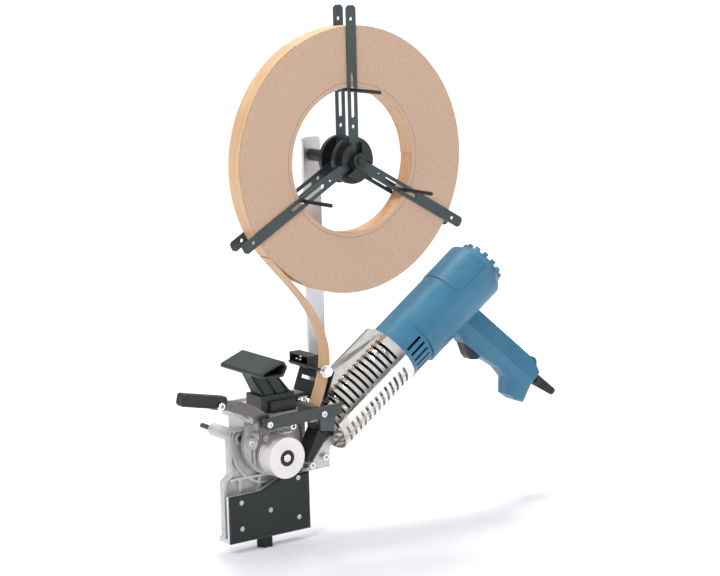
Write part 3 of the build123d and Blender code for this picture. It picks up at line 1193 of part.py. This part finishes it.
def gun_bracket():
    """Aluminium gusset bolted to the frame's arm, with a ring that holds the barrel."""
    y1 = FRAME_FRONT - SCREW_FIT / 2
    y0 = y1 - BRACKET_THICKNESS
    outline = [(46, -3), (78.5, -6.5), (79.2, 14.5), (86, 31), (78, 31), (54, 2)]
    plate = prism_y(outline, y0, y1)
    ring = Cylinder(BARREL_RADIUS + 3.2, 6) - Cylinder(BARREL_RADIUS + 0.1, 8)
    ring = on_gun(Pos(0, 0, -GUARD_LENGTH + 4) * ring)
    bore = on_gun(Pos(0, 0, -GUARD_LENGTH) * Cylinder(BARREL_RADIUS + 0.1, 60))
    plate = plate - bore + ring
    for x, z in bracket_screw_places():
        plate -= rod_y(x, z, CAP_SHANK + SCREW_FIT, y0 - 1, y1 + 1)
    return plate


# ---- assembly --------------------------------------------------------------------------------
def build():
    os.makedirs("parts", exist_ok=True)
    pieces = [
        sole_pad, sole_screws, sole_carrier, carrier_dowels, clamp_knob,
        main_frame, support_rod, roller_housing, roller_axle, roller_bush,
        press_roller, roller_flange, roller_screw, cap_screws, top_grip, base_block,
        lever_plate, lever_grip, lever_screw, fulcrum_pin, return_spring,
        link_bar, link_screws, blade_carrier, cutter_blade, tape_chute, feed_shoe,
        guide_plate, guide_channel, wing_nut, guide_rod, thumb_screw,
        post_bracket, reel_post, reel_spindle, axle_spacer, axle_nut,
        hub_rear, hub_front, hub_knob, front_arms, rear_arms, reel_pins,
        tape_coil, tape_strand,
        gun_sleeve, rear_grille, heater_tube, heater_core, gun_motor, gun_fan,
        trigger, temperature_dial, hot_guard, nozzle, gun_bracket, cable_boot, gun_screws,
    ]
    for piece in pieces:
        save(piece.__name__, piece())
    front_shell, back_shell = gun_shells()
    save("gun_shell_front", front_shell)
    save("gun_shell_back", back_shell)


build()
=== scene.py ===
import math

import bpy
from mathutils import Matrix, Vector


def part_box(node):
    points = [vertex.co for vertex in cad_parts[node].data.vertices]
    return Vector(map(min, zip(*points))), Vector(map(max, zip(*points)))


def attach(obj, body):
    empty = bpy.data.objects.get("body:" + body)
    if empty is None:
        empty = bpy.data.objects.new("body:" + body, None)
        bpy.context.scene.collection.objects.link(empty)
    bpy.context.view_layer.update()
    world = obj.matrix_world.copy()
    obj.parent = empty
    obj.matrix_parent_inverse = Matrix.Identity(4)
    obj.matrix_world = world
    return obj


# Looks of the edge banding machine, in metres, in the part's own frame.

# The coil of edging and the two loose turns on it.
REEL_X = 0.1014
REEL_Z = 0.3485
COIL_OUTER = 0.1496
COIL_INNER = 0.0818
COIL_GAP_RADIUS = 0.0868
COIL_GAP_WANDER = 0.0022
TAPE_THICKNESS = 0.0006
OUTER_WRAP_ARC = (math.radians(118), math.radians(220.9))
INNER_WRAP_ARC = (math.radians(1), math.radians(88))

# The pressure roller's axis, the thread on the support rod, and the gun's axis.
ROLLER_X = 0.0
ROLLER_Z = 0.0235
ROD_PITCH = 0.0015
GUN_START = (0.170, 0.014, 0.114)
GUN_TILT = math.radians(35.5)
GUN_AXIS = (math.cos(GUN_TILT), 0.0, math.sin(GUN_TILT))
HEAT_START = -0.082
HEAT_END = -0.128

# The camera: a long lens in front, to the left and a little above.
CAMERA_PLACE = (-1.25331, -1.95985, 0.62318)
CAMERA_YAW = math.radians(-35.04)
CAMERA_PITCH = math.radians(10.06)
CAMERA_ROLL = math.radians(-1.361)
CAMERA_LENS = 106.43
CAMERA_SENSOR = 36.0


# ---- shader helpers ----------------------------------------------------------------------------
def start(name, colour, metallic, rough):
    """A new material with its shader's even values set; returns the tree, shader and object place."""
    material = bpy.data.materials.new(name)
    material.use_nodes = True
    tree = material.node_tree
    shader = tree.nodes["Principled BSDF"]
    shader.inputs["Base Color"].default_value = (*colour, 1)
    shader.inputs["Metallic"].default_value = metallic
    shader.inputs["Roughness"].default_value = rough
    place = tree.nodes.new("ShaderNodeTexCoord").outputs["Object"]
    return material, tree, shader, place


def noise(tree, place, scale, detail=4.0, stretch=(1, 1, 1)):
    """Noise from 0 to 1, squeezed along each axis by stretch."""
    mapping = tree.nodes.new("ShaderNodeMapping")
    mapping.inputs["Scale"].default_value = stretch
    tree.links.new(place, mapping.inputs["Vector"])
    texture = tree.nodes.new("ShaderNodeTexNoise")
    texture.inputs["Scale"].default_value = scale
    texture.inputs["Detail"].default_value = detail
    tree.links.new(mapping.outputs["Vector"], texture.inputs["Vector"])
    return texture.outputs["Fac"]


def spread(tree, value, low, high, out_low, out_high):
    """Stretch the part of a value between low and high over a new range."""
    scaled = tree.nodes.new("ShaderNodeMapRange")
    scaled.inputs["From Min"].default_value = low
    scaled.inputs["From Max"].default_value = high
    scaled.inputs["To Min"].default_value = out_low
    scaled.inputs["To Max"].default_value = out_high
    tree.links.new(value, scaled.inputs["Value"])
    return scaled.outputs["Result"]


def mix(tree, factor, first, second):
    """Mix two colours; each is a plain colour or another node's output."""
    mixer = tree.nodes.new("ShaderNodeMix")
    mixer.data_type = "RGBA"
    tree.links.new(factor, mixer.inputs["Factor"])
    for socket, colour in ((mixer.inputs[6], first), (mixer.inputs[7], second)):
        if isinstance(colour, tuple):
            socket.default_value = (*colour, 1)
        else:
            tree.links.new(colour, socket)
    return mixer.outputs[2]


def math_node(tree, operation, first, second=None):
    """One sum of two values; each is a number or another node's output."""
    calc = tree.nodes.new("ShaderNodeMath")
    calc.operation = operation
    for socket, value in zip(calc.inputs, (first, second)):
        if value is None:
            continue
        if isinstance(value, (int, float)):
            socket.default_value = value
        else:
            tree.links.new(value, socket)
    return calc.outputs["Value"]


def bump(tree, height, depth, normal=None):
    """Raise the surface by up to depth, in metres."""
    raised = tree.nodes.new("ShaderNodeBump")
    raised.inputs["Strength"].default_value = 1.0
    raised.inputs["Distance"].default_value = depth
    tree.links.new(height, raised.inputs["Height"])
    if normal is not None:
        tree.links.new(normal, raised.inputs["Normal"])
    return raised.outputs["Normal"]


def soft_edges(tree, radius):
    """Rounded edges and a mask that is 1 on them."""
    bevel = tree.nodes.new("ShaderNodeBevel")
    bevel.samples = 4
    bevel.inputs["Radius"].default_value = radius
    flat = tree.nodes.new("ShaderNodeNewGeometry").outputs["Normal"]
    dot = tree.nodes.new("ShaderNodeVectorMath")
    dot.operation = "DOT_PRODUCT"
    tree.links.new(bevel.outputs["Normal"], dot.inputs[0])
    tree.links.new(flat, dot.inputs[1])
    mask = spread(tree, dot.outputs["Value"], 0.97, 0.80, 0.0, 1.0)
    return bevel.outputs["Normal"], mask


def axis_place(tree, place, origin, axis):
    """Distance along an axis from an origin."""
    shift = tree.nodes.new("ShaderNodeVectorMath")
    shift.operation = "SUBTRACT"
    tree.links.new(place, shift.inputs[0])
    shift.inputs[1].default_value = origin
    dot = tree.nodes.new("ShaderNodeVectorMath")
    dot.operation = "DOT_PRODUCT"
    tree.links.new(shift.outputs["Vector"], dot.inputs[0])
    dot.inputs[1].default_value = axis
    return dot.outputs["Value"]


def around_y(tree, place, x, z):
    """Radius and angle round a line along Y through (x, z)."""
    parts = tree.nodes.new("ShaderNodeSeparateXYZ")
    tree.links.new(place, parts.inputs["Vector"])
    dx = math_node(tree, "SUBTRACT", parts.outputs["X"], x)
    dz = math_node(tree, "SUBTRACT", parts.outputs["Z"], z)
    dx_squared = math_node(tree, "MULTIPLY", dx, dx)
    dz_squared = math_node(tree, "MULTIPLY", dz, dz)
    radius = math_node(tree, "SQRT", math_node(tree, "ADD", dx_squared, dz_squared))
    angle = math_node(tree, "ARCTAN2", dz, dx)
    return radius, angle, parts.outputs["Y"]


def join(tree, x, y, z):
    """A vector from three values; each is a number or another node's output."""
    vector = tree.nodes.new("ShaderNodeCombineXYZ")
    for socket, value in zip(vector.inputs, (x, y, z)):
        if isinstance(value, (int, float)):
            socket.default_value = value
        else:
            tree.links.new(value, socket)
    return vector.outputs["Vector"]


def stretched(tree, first, first_scale, second, second_scale):
    """A flat place for noise from two values, each scaled by itself."""
    return join(
        tree,
        math_node(tree, "MULTIPLY", first, first_scale),
        math_node(tree, "MULTIPLY", second, second_scale),
        0.0,
    )


# ---- finishes --------------------------------------------------------------------------------------
def moulded(name, light, dark, rough, grain=2600, depth=0.00004, edge_wear_and_highlight=None, edge=0.0006, shine=0.4):
    """Moulded plastic: slight cloudiness, a fine grain and edges lightened in patches, part scuffing and
    part painted highlight.
    """
    material, tree, shader, place = start(name, light, 0.0, rough)
    shader.inputs["Specular IOR Level"].default_value = shine
    cloud = spread(tree, noise(tree, place, 22, 5), 0.3, 0.7, 0.0, 1.0)
    colour = mix(tree, cloud, dark, light)
    rounded, edges = soft_edges(tree, edge)
    # Edges are lightened in noisy patches: partly scuffed wear, partly a painted highlight on the rounded
    # edges.
    edge_patches = spread(tree, noise(tree, place, 140, 6), 0.42, 0.62, 0.0, 0.75)
    wear_and_highlight_mask = math_node(tree, "MULTIPLY", edges, edge_patches)
    colour = mix(tree, wear_and_highlight_mask, colour, edge_wear_and_highlight or tuple(min(1.0, c * 2.2 + 0.05) for c in light))
    tree.links.new(colour, shader.inputs["Base Color"])
    smear = spread(tree, noise(tree, place, 60, 6), 0.3, 0.7, rough - 0.08, rough + 0.12)
    tree.links.new(smear, shader.inputs["Roughness"])
    tree.links.new(bump(tree, noise(tree, place, grain, 2), depth, rounded), shader.inputs["Normal"])
    return material


def cast(name, light, dark, rough):
    """Sand-textured casting with a few pits and edges painted brighter as a painted highlight."""
    material, tree, shader, place = start(name, light, 0.55, rough)
    cloud = spread(tree, noise(tree, place, 35, 6), 0.32, 0.68, 0.0, 1.0)
    colour = mix(tree, cloud, dark, light)
    rounded, edges = soft_edges(tree, 0.0009)
    # Painted highlight: every edge is lightened toward pale grey.
    colour = mix(tree, math_node(tree, "MULTIPLY", edges, 0.55), colour, (0.82, 0.82, 0.80))
    pits = spread(tree, noise(tree, place, 420, 3), 0.30, 0.36, 1.0, 0.0)
    colour = mix(tree, math_node(tree, "MULTIPLY", pits, 0.5), colour, (0.18, 0.18, 0.17))
    tree.links.new(colour, shader.inputs["Base Color"])
    uneven = spread(tree, noise(tree, place, 90, 5), 0.3, 0.7, rough - 0.1, rough + 0.12)
    tree.links.new(uneven, shader.inputs["Roughness"])
    sand = math_node(tree, "SUBTRACT", noise(tree, place, 1500, 4), math_node(tree, "MULTIPLY", pits, 0.6))
    tree.links.new(bump(tree, sand, 0.00012, rounded), shader.inputs["Normal"])
    return material


def brushed(name, light, dark, rough, stretch, depth=0.00002, scale=900, metallic=0.9, edge=0.0004):
    """Metal brushed along one direction, with edges lightened as wear and painted highlight; stretch is
    small along the brushing.
    """
    material, tree, shader, place = start(name, light, metallic, rough)
    lines = noise(tree, place, scale, 5, stretch)
    cloud = spread(tree, noise(tree, place, 30, 5), 0.3, 0.7, 0.0, 1.0)
    colour = mix(tree, spread(tree, lines, 0.3, 0.7, 0.0, 1.0), dark, light)
    colour = mix(tree, math_node(tree, "MULTIPLY", cloud, 0.25), colour, tuple(c * 0.75 for c in dark))
    rounded, edges = soft_edges(tree, edge)
    # Edges are lightened: partly bare-metal wear, partly a painted highlight.
    edge_wear_and_highlight = tuple(min(1.0, c * 1.3 + 0.1) for c in light)
    colour = mix(tree, math_node(tree, "MULTIPLY", edges, 0.5), colour, edge_wear_and_highlight)
    tree.links.new(colour, shader.inputs["Base Color"])
    tree.links.new(spread(tree, lines, 0.25, 0.75, rough - 0.08, rough + 0.12), shader.inputs["Roughness"])
    tree.links.new(bump(tree, lines, depth, rounded), shader.inputs["Normal"])
    return material


def plated(name, colour=(0.80, 0.80, 0.79), rough=0.14):
    """Bright plating with fingermarks and hairline scratches."""
    material, tree, shader, place = start(name, colour, 1.0, rough)
    smudge = spread(tree, noise(tree, place, 85, 6), 0.42, 0.70, 0.0, 1.0)
    tree.links.new(spread(tree, smudge, 0.0, 1.0, rough - 0.05, rough + 0.14), shader.inputs["Roughness"])
    tree.links.new(mix(tree, smudge, colour, tuple(c * 0.78 for c in colour)), shader.inputs["Base Color"])
    rounded, _ = soft_edges(tree, 0.0004)
    scratches = noise(tree, place, 700, 4, (1, 6, 1))
    tree.links.new(bump(tree, scratches, 0.000006, rounded), shader.inputs["Normal"])
    return material


def turned(name, light, dark, rough, x, z, metallic):
    """Metal turned on a lathe about a line along Y: fine rings on the faces and round the rim."""
    material, tree, shader, place = start(name, light, metallic, rough)
    radius, angle, across = around_y(tree, place, x, z)
    ring_place = join(
        tree,
        math_node(tree, "MULTIPLY", radius, 2600),
        math_node(tree, "MULTIPLY", across, 2600),
        math_node(tree, "MULTIPLY", angle, 0.6),
    )
    lines = noise(tree, ring_place, 1.0, 4)
    smear = spread(tree, noise(tree, place, 55, 6), 0.35, 0.7, 0.0, 1.0)
    colour = mix(tree, spread(tree, lines, 0.3, 0.7, 0.0, 1.0), dark, light)
    colour = mix(tree, math_node(tree, "MULTIPLY", smear, 0.18), colour, (0.66, 0.63, 0.60))
    tree.links.new(colour, shader.inputs["Base Color"])
    tree.links.new(spread(tree, smear, 0.0, 1.0, rough - 0.04, rough + 0.16), shader.inputs["Roughness"])
    rounded, _ = soft_edges(tree, 0.0006)
    tree.links.new(bump(tree, lines, 0.00001, rounded), shader.inputs["Normal"])
    return material


def guard_plating():
    """Mirror plating on the heat guard, browned and blued by heat toward its front end."""
    material, tree, shader, place = start("guard_plating", (0.83, 0.83, 0.82), 1.0, 0.10)
    along = axis_place(tree, place, GUN_START, GUN_AXIS)
    wobble = spread(tree, noise(tree, place, 28, 4), 0.3, 0.7, -0.018, 0.018)
    heat = spread(tree, math_node(tree, "ADD", along, wobble), HEAT_START, HEAT_END, 0.0, 1.0)
    ramp = tree.nodes.new("ShaderNodeValToRGB")
    ramp.color_ramp.elements[0].color = (0.84, 0.84, 0.83, 1)
    ramp.color_ramp.elements[1].color = (0.44, 0.42, 0.46, 1)
    for place_on_ramp, colour in ((0.45, (0.80, 0.77, 0.70, 1)), (0.75, (0.62, 0.55, 0.49, 1))):
        ramp.color_ramp.elements.new(place_on_ramp).color = colour
    tree.links.new(heat, ramp.inputs["Fac"])
    smudge = spread(tree, noise(tree, place, 70, 6), 0.42, 0.72, 0.0, 0.55)
    colour = mix(tree, smudge, ramp.outputs["Color"], (0.58, 0.56, 0.52))
    tree.links.new(colour, shader.inputs["Base Color"])
    tree.links.new(spread(tree, smudge, 0.0, 0.55, 0.07, 0.26), shader.inputs["Roughness"])
    rounded, _ = soft_edges(tree, 0.0004)
    tree.links.new(bump(tree, noise(tree, place, 300, 5), 0.000008, rounded), shader.inputs["Normal"])
    return material


def wound_tape():
    """Edging wound into a coil: fine uneven rings on the sides, wood grain on the rim and in the bore."""
    material, tree, shader, place = start("wound_tape", (0.62, 0.46, 0.34), 0.0, 0.62)
    radius, angle, across = around_y(tree, place, REEL_X, REEL_Z)
    rings = noise(tree, stretched(tree, radius, 1300, angle, 26.0), 1.0, 6)
    specks = noise(tree, stretched(tree, radius, 1700, angle, 150.0), 1.0, 3)
    side = mix(tree, spread(tree, rings, 0.30, 0.70, 0.0, 1.0), (0.42, 0.275, 0.19), (0.54, 0.385, 0.275))
    side = mix(tree, spread(tree, specks, 0.55, 0.72, 0.0, 0.45), side, (0.72, 0.57, 0.45))
    side = mix(tree, spread(tree, specks, 0.42, 0.28, 0.0, 0.45), side, (0.28, 0.16, 0.10))
    slow_wave = noise(tree, join(tree, angle, 0.0, 0.0), 1.3, 2)
    wander = spread(tree, slow_wave, 0.0, 1.0, -COIL_GAP_WANDER, COIL_GAP_WANDER)
    from_gap = math_node(tree, "SUBTRACT", math_node(tree, "ADD", radius, wander), COIL_GAP_RADIUS)
    gap = spread(tree, math_node(tree, "ABSOLUTE", from_gap), 0.0003, 0.0001, 0.0, 0.85)
    side = mix(tree, gap, side, (0.05, 0.028, 0.018))
    grain = noise(tree, stretched(tree, across, 1500, angle, 9.0), 1.0, 5)
    figure = spread(tree, grain, 0.35, 0.65, 0.0, 1.0)
    outer_rim = mix(tree, figure, (0.52, 0.31, 0.155), (0.70, 0.47, 0.27))
    bore = mix(tree, figure, (0.42, 0.20, 0.10), (0.62, 0.33, 0.18))
    inside = spread(tree, radius, COIL_INNER - 0.0003, COIL_INNER + 0.0004, 1.0, 0.0)
    rim = mix(tree, inside, outer_rim, bore)
    normal = tree.nodes.new("ShaderNodeNewGeometry").outputs["Normal"]
    facing = tree.nodes.new("ShaderNodeSeparateXYZ")
    tree.links.new(normal, facing.inputs["Vector"])
    on_side = spread(tree, math_node(tree, "ABSOLUTE", facing.outputs["Y"]), 0.5, 0.6, 0.0, 1.0)
    tree.links.new(mix(tree, on_side, rim, side), shader.inputs["Base Color"])
    tree.links.new(spread(tree, rings, 0.3, 0.7, 0.5, 0.75), shader.inputs["Roughness"])
    ring_height = math_node(tree, "MULTIPLY", rings, 0.7)
    speck_height = math_node(tree, "MULTIPLY", specks, 0.5)
    height = math_node(tree, "ADD", ring_height, speck_height)
    height = math_node(tree, "SUBTRACT", height, math_node(tree, "MULTIPLY", gap, 0.8))
    tree.links.new(bump(tree, height, 0.00012), shader.inputs["Normal"])
    return material


def loose_tape():
    """The loose run of edging, with wood grain along it."""
    material, tree, shader, place = start("loose_tape", (0.76, 0.52, 0.30), 0.0, 0.48)
    grain = noise(tree, place, 60, 6, (1.0, 24.0, 0.35))
    figure = noise(tree, place, 14, 4, (1.0, 7.0, 0.5))
    colour = mix(tree, spread(tree, grain, 0.35, 0.65, 0.0, 1.0), (0.50, 0.30, 0.15), (0.68, 0.46, 0.27))
    colour = mix(tree, spread(tree, figure, 0.45, 0.7, 0.0, 0.35), colour, (0.50, 0.29, 0.14))
    tree.links.new(colour, shader.inputs["Base Color"])
    tree.links.new(spread(tree, grain, 0.3, 0.7, 0.40, 0.58), shader.inputs["Roughness"])
    tree.links.new(bump(tree, grain, 0.00004), shader.inputs["Normal"])
    return material


def threaded(name, colour, pitch, rough=0.42):
    """Blackened rod with a thread along Y."""
    material, tree, shader, place = start(name, colour, 0.6, rough)
    wave = tree.nodes.new("ShaderNodeTexWave")
    wave.bands_direction = "Y"
    wave.inputs["Scale"].default_value = 0.314 / pitch
    tree.links.new(place, wave.inputs["Vector"])
    crest = spread(tree, wave.outputs["Fac"], 0.6, 1.0, 0.0, 0.6)
    dirt = spread(tree, noise(tree, place, 300, 5), 0.3, 0.7, 0.4, 1.0)
    bare = math_node(tree, "MULTIPLY", crest, dirt)
    tree.links.new(mix(tree, bare, colour, (0.30, 0.31, 0.31)), shader.inputs["Base Color"])
    uneven = spread(tree, noise(tree, place, 200, 4), 0.3, 0.7, rough - 0.1, rough + 0.1)
    tree.links.new(uneven, shader.inputs["Roughness"])
    tree.links.new(bump(tree, wave.outputs["Fac"], 0.0005), shader.inputs["Normal"])
    return material


def fired_clay():
    """The heater's ceramic core, stained by heat."""
    material, tree, shader, place = start("fired_clay", (0.74, 0.68, 0.58), 0.0, 0.85)
    stain = spread(tree, noise(tree, place, 60, 6), 0.35, 0.7, 0.0, 1.0)
    tree.links.new(mix(tree, stain, (0.74, 0.68, 0.58), (0.45, 0.38, 0.30)), shader.inputs["Base Color"])
    tree.links.new(bump(tree, noise(tree, place, 900, 4), 0.0001), shader.inputs["Normal"])
    return material


# ---- added pieces --------------------------------------------------------------------------------------
def place_is_bare(vertex, start_angle, end_angle):
    """True where a point round the reel's axis lies outside the arc between two angles."""
    angle = math.atan2(vertex.co.z - REEL_Z, vertex.co.x - REEL_X) % math.tau
    return not start_angle <= angle <= end_angle


def loose_wrap(name, radius, arc, body, finish):
    """A turn of tape that stands a little off the coil, as an arc between two angles."""
    low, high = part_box("tape_coil")
    bpy.ops.object.select_all(action="DESELECT")
    width = high.y - low.y
    bpy.ops.mesh.primitive_cylinder_add(vertices=360, radius=radius, depth=width, end_fill_type="NOTHING")
    band = bpy.context.active_object
    band.name = name
    bpy.ops.object.mode_set(mode="EDIT")
    bpy.ops.mesh.select_all(action="SELECT")
    bpy.ops.transform.rotate(value=math.pi / 2, orient_axis="X", center_override=(0, 0, 0))
    bpy.ops.transform.translate(value=(REEL_X, (low.y + high.y) / 2, REEL_Z))
    bpy.ops.mesh.select_all(action="DESELECT")
    bpy.ops.object.mode_set(mode="OBJECT")
    for vertex in band.data.vertices:
        vertex.select = place_is_bare(vertex, *arc)
    bpy.ops.object.mode_set(mode="EDIT")
    bpy.ops.mesh.delete(type="VERT")
    bpy.ops.object.mode_set(mode="OBJECT")
    thick = band.modifiers.new("thickness", "SOLIDIFY")
    thick.thickness = TAPE_THICKNESS
    thick.offset = 0.0
    bpy.ops.object.modifier_apply(modifier=thick.name)
    bpy.ops.object.shade_smooth_by_angle(angle=math.radians(30))
    band.data.materials.append(finish)
    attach(band, body)


# ---- studio ------------------------------------------------------------------------------------------
def area_light(name, place, target, size, power):
    """A rectangular lamp at a place, facing a target."""
    data = bpy.data.lights.new(name, "AREA")
    data.shape = "RECTANGLE"
    data.size = size[0]
    data.size_y = size[1]
    data.energy = power
    lamp = bpy.data.objects.new(name, data)
    bpy.context.scene.collection.objects.link(lamp)
    lamp.location = place
    lamp.rotation_euler = (Vector(target) - Vector(place)).to_track_quat("-Z", "Y").to_euler()


def pale_floor(level):
    """A floor at a level, which glows more with distance so that it fades into the background."""
    bpy.ops.object.select_all(action="DESELECT")
    bpy.ops.mesh.primitive_plane_add(size=60, location=(0, 0, level))
    floor = bpy.context.active_object
    floor.name = "floor"
    material, tree, shader, place = start("pale_floor", (0.80, 0.79, 0.82), 0.0, 0.9)
    shader.inputs["Specular IOR Level"].default_value = 0.0
    shader.inputs["Emission Color"].default_value = (1, 1, 1, 1)
    distance = tree.nodes.new("ShaderNodeVectorMath")
    distance.operation = "LENGTH"
    tree.links.new(place, distance.inputs[0])
    glow = spread(tree, distance.outputs["Value"], 0.35, 1.6, 0.06, 0.55)
    tree.links.new(glow, shader.inputs["Emission Strength"])
    floor.data.materials.append(material)


def studio():
    """A soft sky that is bright above and grey at the sides, and three lamps."""
    world = bpy.data.worlds.new("studio")
    bpy.context.scene.world = world
    world.use_nodes = True
    tree = world.node_tree
    direction = tree.nodes.new("ShaderNodeSeparateXYZ")
    tree.links.new(tree.nodes.new("ShaderNodeTexCoord").outputs["Generated"], direction.inputs["Vector"])
    ramp = tree.nodes.new("ShaderNodeValToRGB")
    ramp.color_ramp.elements[0].color = (0.10, 0.10, 0.11, 1)
    ramp.color_ramp.elements[1].color = (1.0, 1.0, 1.0, 1)
    for height, level in ((0.16, 0.36), (0.40, 0.90), (0.52, 1.0)):
        ramp.color_ramp.elements.new(height).color = (level, level, level * 1.02, 1)
    tree.links.new(direction.outputs["Z"], ramp.inputs["Fac"])
    tree.links.new(ramp.outputs["Color"], tree.nodes["Background"].inputs["Color"])
    tree.nodes["Background"].inputs["Strength"].default_value = 0.80
    area_light("key", (-1.9, -1.2, 2.0), (0.1, 0, 0.2), (0.9, 0.7), 40)
    area_light("top", (0.45, 0.55, 1.9), (0.0, 0, -0.05), (0.5, 0.5), 24)
    area_light("side", (1.6, -2.4, 0.9), (0.2, 0, 0.1), (0.3, 1.4), 7)
    bpy.context.scene.view_settings.view_transform = "Standard"


def camera():
    """Place and aim the camera from its yaw, pitch and roll."""
    data = bpy.data.cameras.new("camera")
    data.lens = CAMERA_LENS
    data.sensor_width = CAMERA_SENSOR
    data.clip_end = 100
    item = bpy.data.objects.new("camera", data)
    bpy.context.scene.collection.objects.link(item)
    level = math.cos(CAMERA_PITCH)
    back = Vector((math.sin(CAMERA_YAW) * level, -math.cos(CAMERA_YAW) * level, math.sin(CAMERA_PITCH)))
    right = (-back).cross(Vector((0, 0, 1))).normalized()
    up = right.cross(-back)
    right_rolled = right * math.cos(CAMERA_ROLL) + up * math.sin(CAMERA_ROLL)
    up_rolled = up * math.cos(CAMERA_ROLL) - right * math.sin(CAMERA_ROLL)
    turn = Matrix((right_rolled, up_rolled, back)).transposed()
    item.matrix_world = Matrix.Translation(CAMERA_PLACE) @ turn.to_4x4()
    bpy.context.scene.camera = item


# ---- build -------------------------------------------------------------------------------------------
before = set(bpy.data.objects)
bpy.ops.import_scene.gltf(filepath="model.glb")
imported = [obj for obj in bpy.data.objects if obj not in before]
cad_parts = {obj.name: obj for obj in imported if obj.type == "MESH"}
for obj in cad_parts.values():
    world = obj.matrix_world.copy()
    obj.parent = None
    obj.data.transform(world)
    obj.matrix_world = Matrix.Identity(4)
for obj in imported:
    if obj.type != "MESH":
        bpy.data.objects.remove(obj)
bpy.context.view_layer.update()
bpy.ops.object.select_all(action="DESELECT")

black = moulded("black_plastic", (0.012, 0.015, 0.014), (0.007, 0.009, 0.009), 0.32)
grip_plastic = moulded("grip_plastic", (0.022, 0.030, 0.026), (0.013, 0.018, 0.016), 0.42, 1800, 0.00006)
sole_plastic = moulded("sole_plastic", (0.011, 0.019, 0.017), (0.007, 0.013, 0.011), 0.30, 2200, 0.00003)
# The last colour is the blue plastic's lighter edge colour: scuffing and painted highlight.
blue = moulded(
    "blue_plastic", (0.034, 0.170, 0.280), (0.024, 0.140, 0.238),
    0.34, 2400, 0.00003, (0.16, 0.36, 0.50), shine=0.5
)
blue_small = moulded("blue_knob_plastic", (0.015, 0.095, 0.170), (0.010, 0.075, 0.140), 0.36)
rubber = moulded("boot_rubber", (0.028, 0.028, 0.028), (0.018, 0.018, 0.018), 0.62, 1500, 0.00006)
casting = cast("casting_alloy", (0.62, 0.62, 0.60), (0.46, 0.46, 0.445), 0.50)
sheet = brushed("sheet_alloy", (0.74, 0.75, 0.77), (0.60, 0.61, 0.63), 0.38, (1, 1, 0.03))
gusset_sheet = brushed("gusset_alloy", (0.70, 0.70, 0.69), (0.52, 0.52, 0.51), 0.36, (0.03, 1, 1))
ground = brushed("ground_steel", (0.34, 0.33, 0.31), (0.24, 0.235, 0.22), 0.36, (0.05, 1, 1))
lever_steel = brushed(
    "lever_steel", (0.20, 0.19, 0.18), (0.13, 0.125, 0.12),
    0.34, (0.05, 1, 1), metallic=0.8
)
carrier_steel = brushed(
    "carrier_steel", (0.11, 0.12, 0.125), (0.07, 0.078, 0.08),
    0.34, (1, 1, 0.05), metallic=0.7
)
black_steel = brushed(
    "black_steel", (0.022, 0.026, 0.026), (0.012, 0.015, 0.015),
    0.36, (1, 1, 0.2), metallic=0.4
)
link_steel = brushed(
    "link_steel", (0.080, 0.088, 0.084), (0.050, 0.058, 0.055),
    0.34, (0.04, 1, 1), metallic=0.6
)
arm_steel = brushed(
    "arm_coating", (0.055, 0.075, 0.075), (0.038, 0.055, 0.056),
    0.34, (0.3, 1, 0.3), metallic=0.5
)
spring = brushed("spring_wire", (0.62, 0.62, 0.60), (0.45, 0.45, 0.44), 0.28, (1, 1, 1))
bright = plated("bright_plating")
dull_bright = plated("worn_plating", (0.66, 0.65, 0.62), 0.24)
zinc = plated("zinc_screw", (0.60, 0.60, 0.57), 0.30)
# Heater tube: dark heat scale, made darker still as painted shade seen through the guard's slots.
scaled_and_shaded_steel = brushed(
    "scaled_and_shaded_steel", (0.075, 0.065, 0.060), (0.040, 0.036, 0.036),
    0.42, (0.2, 1, 1), metallic=0.8
)
roller_metal = turned(
    "turned_roller", (0.84, 0.81, 0.80), (0.76, 0.73, 0.72),
    0.38, ROLLER_X, ROLLER_Z, 0.25
)
flange_metal = turned(
    "turned_flange", (0.70, 0.68, 0.66), (0.55, 0.53, 0.52),
    0.26, ROLLER_X, ROLLER_Z, 0.7
)
rod_thread = threaded("threaded_rod", (0.025, 0.030, 0.030), ROD_PITCH)
strand_finish = loose_tape()

FINISHES = {
    sole_plastic: ["sole_pad"],
    zinc: ["sole_screws"],
    scaled_and_shaded_steel: ["heater_tube"],
    sheet: ["sole_carrier", "reel_post", "post_bracket"],
    gusset_sheet: ["gun_bracket"],
    casting: ["main_frame", "roller_housing"],
    black: ["clamp_knob", "roller_bush", "lever_grip", "hub_rear", "hub_front", "hub_knob", "trigger",
            "base_block", "gun_fan"],
    grip_plastic: ["top_grip"],
    blue: ["gun_shell_front", "gun_shell_back", "gun_sleeve", "rear_grille"],
    blue_small: ["temperature_dial"],
    rubber: ["cable_boot"],
    ground: ["carrier_dowels", "roller_axle", "fulcrum_pin", "reel_spindle", "gun_motor", "tape_chute"],
    lever_steel: ["lever_plate"],
    carrier_steel: ["blade_carrier"],
    black_steel: ["guide_plate", "guide_channel", "axle_spacer", "reel_pins", "nozzle", "guide_rod"],
    link_steel: ["link_bar"],
    arm_steel: ["front_arms", "rear_arms"],
    spring: ["return_spring", "feed_shoe"],
    bright: ["cap_screws", "lever_screw", "link_screws", "roller_screw", "wing_nut", "thumb_screw",
             "axle_nut", "cutter_blade"],
    dull_bright: ["gun_screws"],
    roller_metal: ["press_roller"],
    flange_metal: ["roller_flange"],
    rod_thread: ["support_rod"],
    guard_plating(): ["hot_guard"],
    wound_tape(): ["tape_coil"],
    strand_finish: ["tape_strand"],
    fired_clay(): ["heater_core"],
}
for finish, names in FINISHES.items():
    for name in names:
        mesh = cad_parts[name].data
        mesh.materials.clear()
        mesh.materials.append(finish)

loose_wrap("outer_wrap", COIL_OUTER + TAPE_THICKNESS, OUTER_WRAP_ARC, "machine", strand_finish)
loose_wrap("inner_wrap", COIL_INNER - TAPE_THICKNESS, INNER_WRAP_ARC, "reel", strand_finish)

pale_floor(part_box("clamp_knob")[0].z)
studio()
camera()
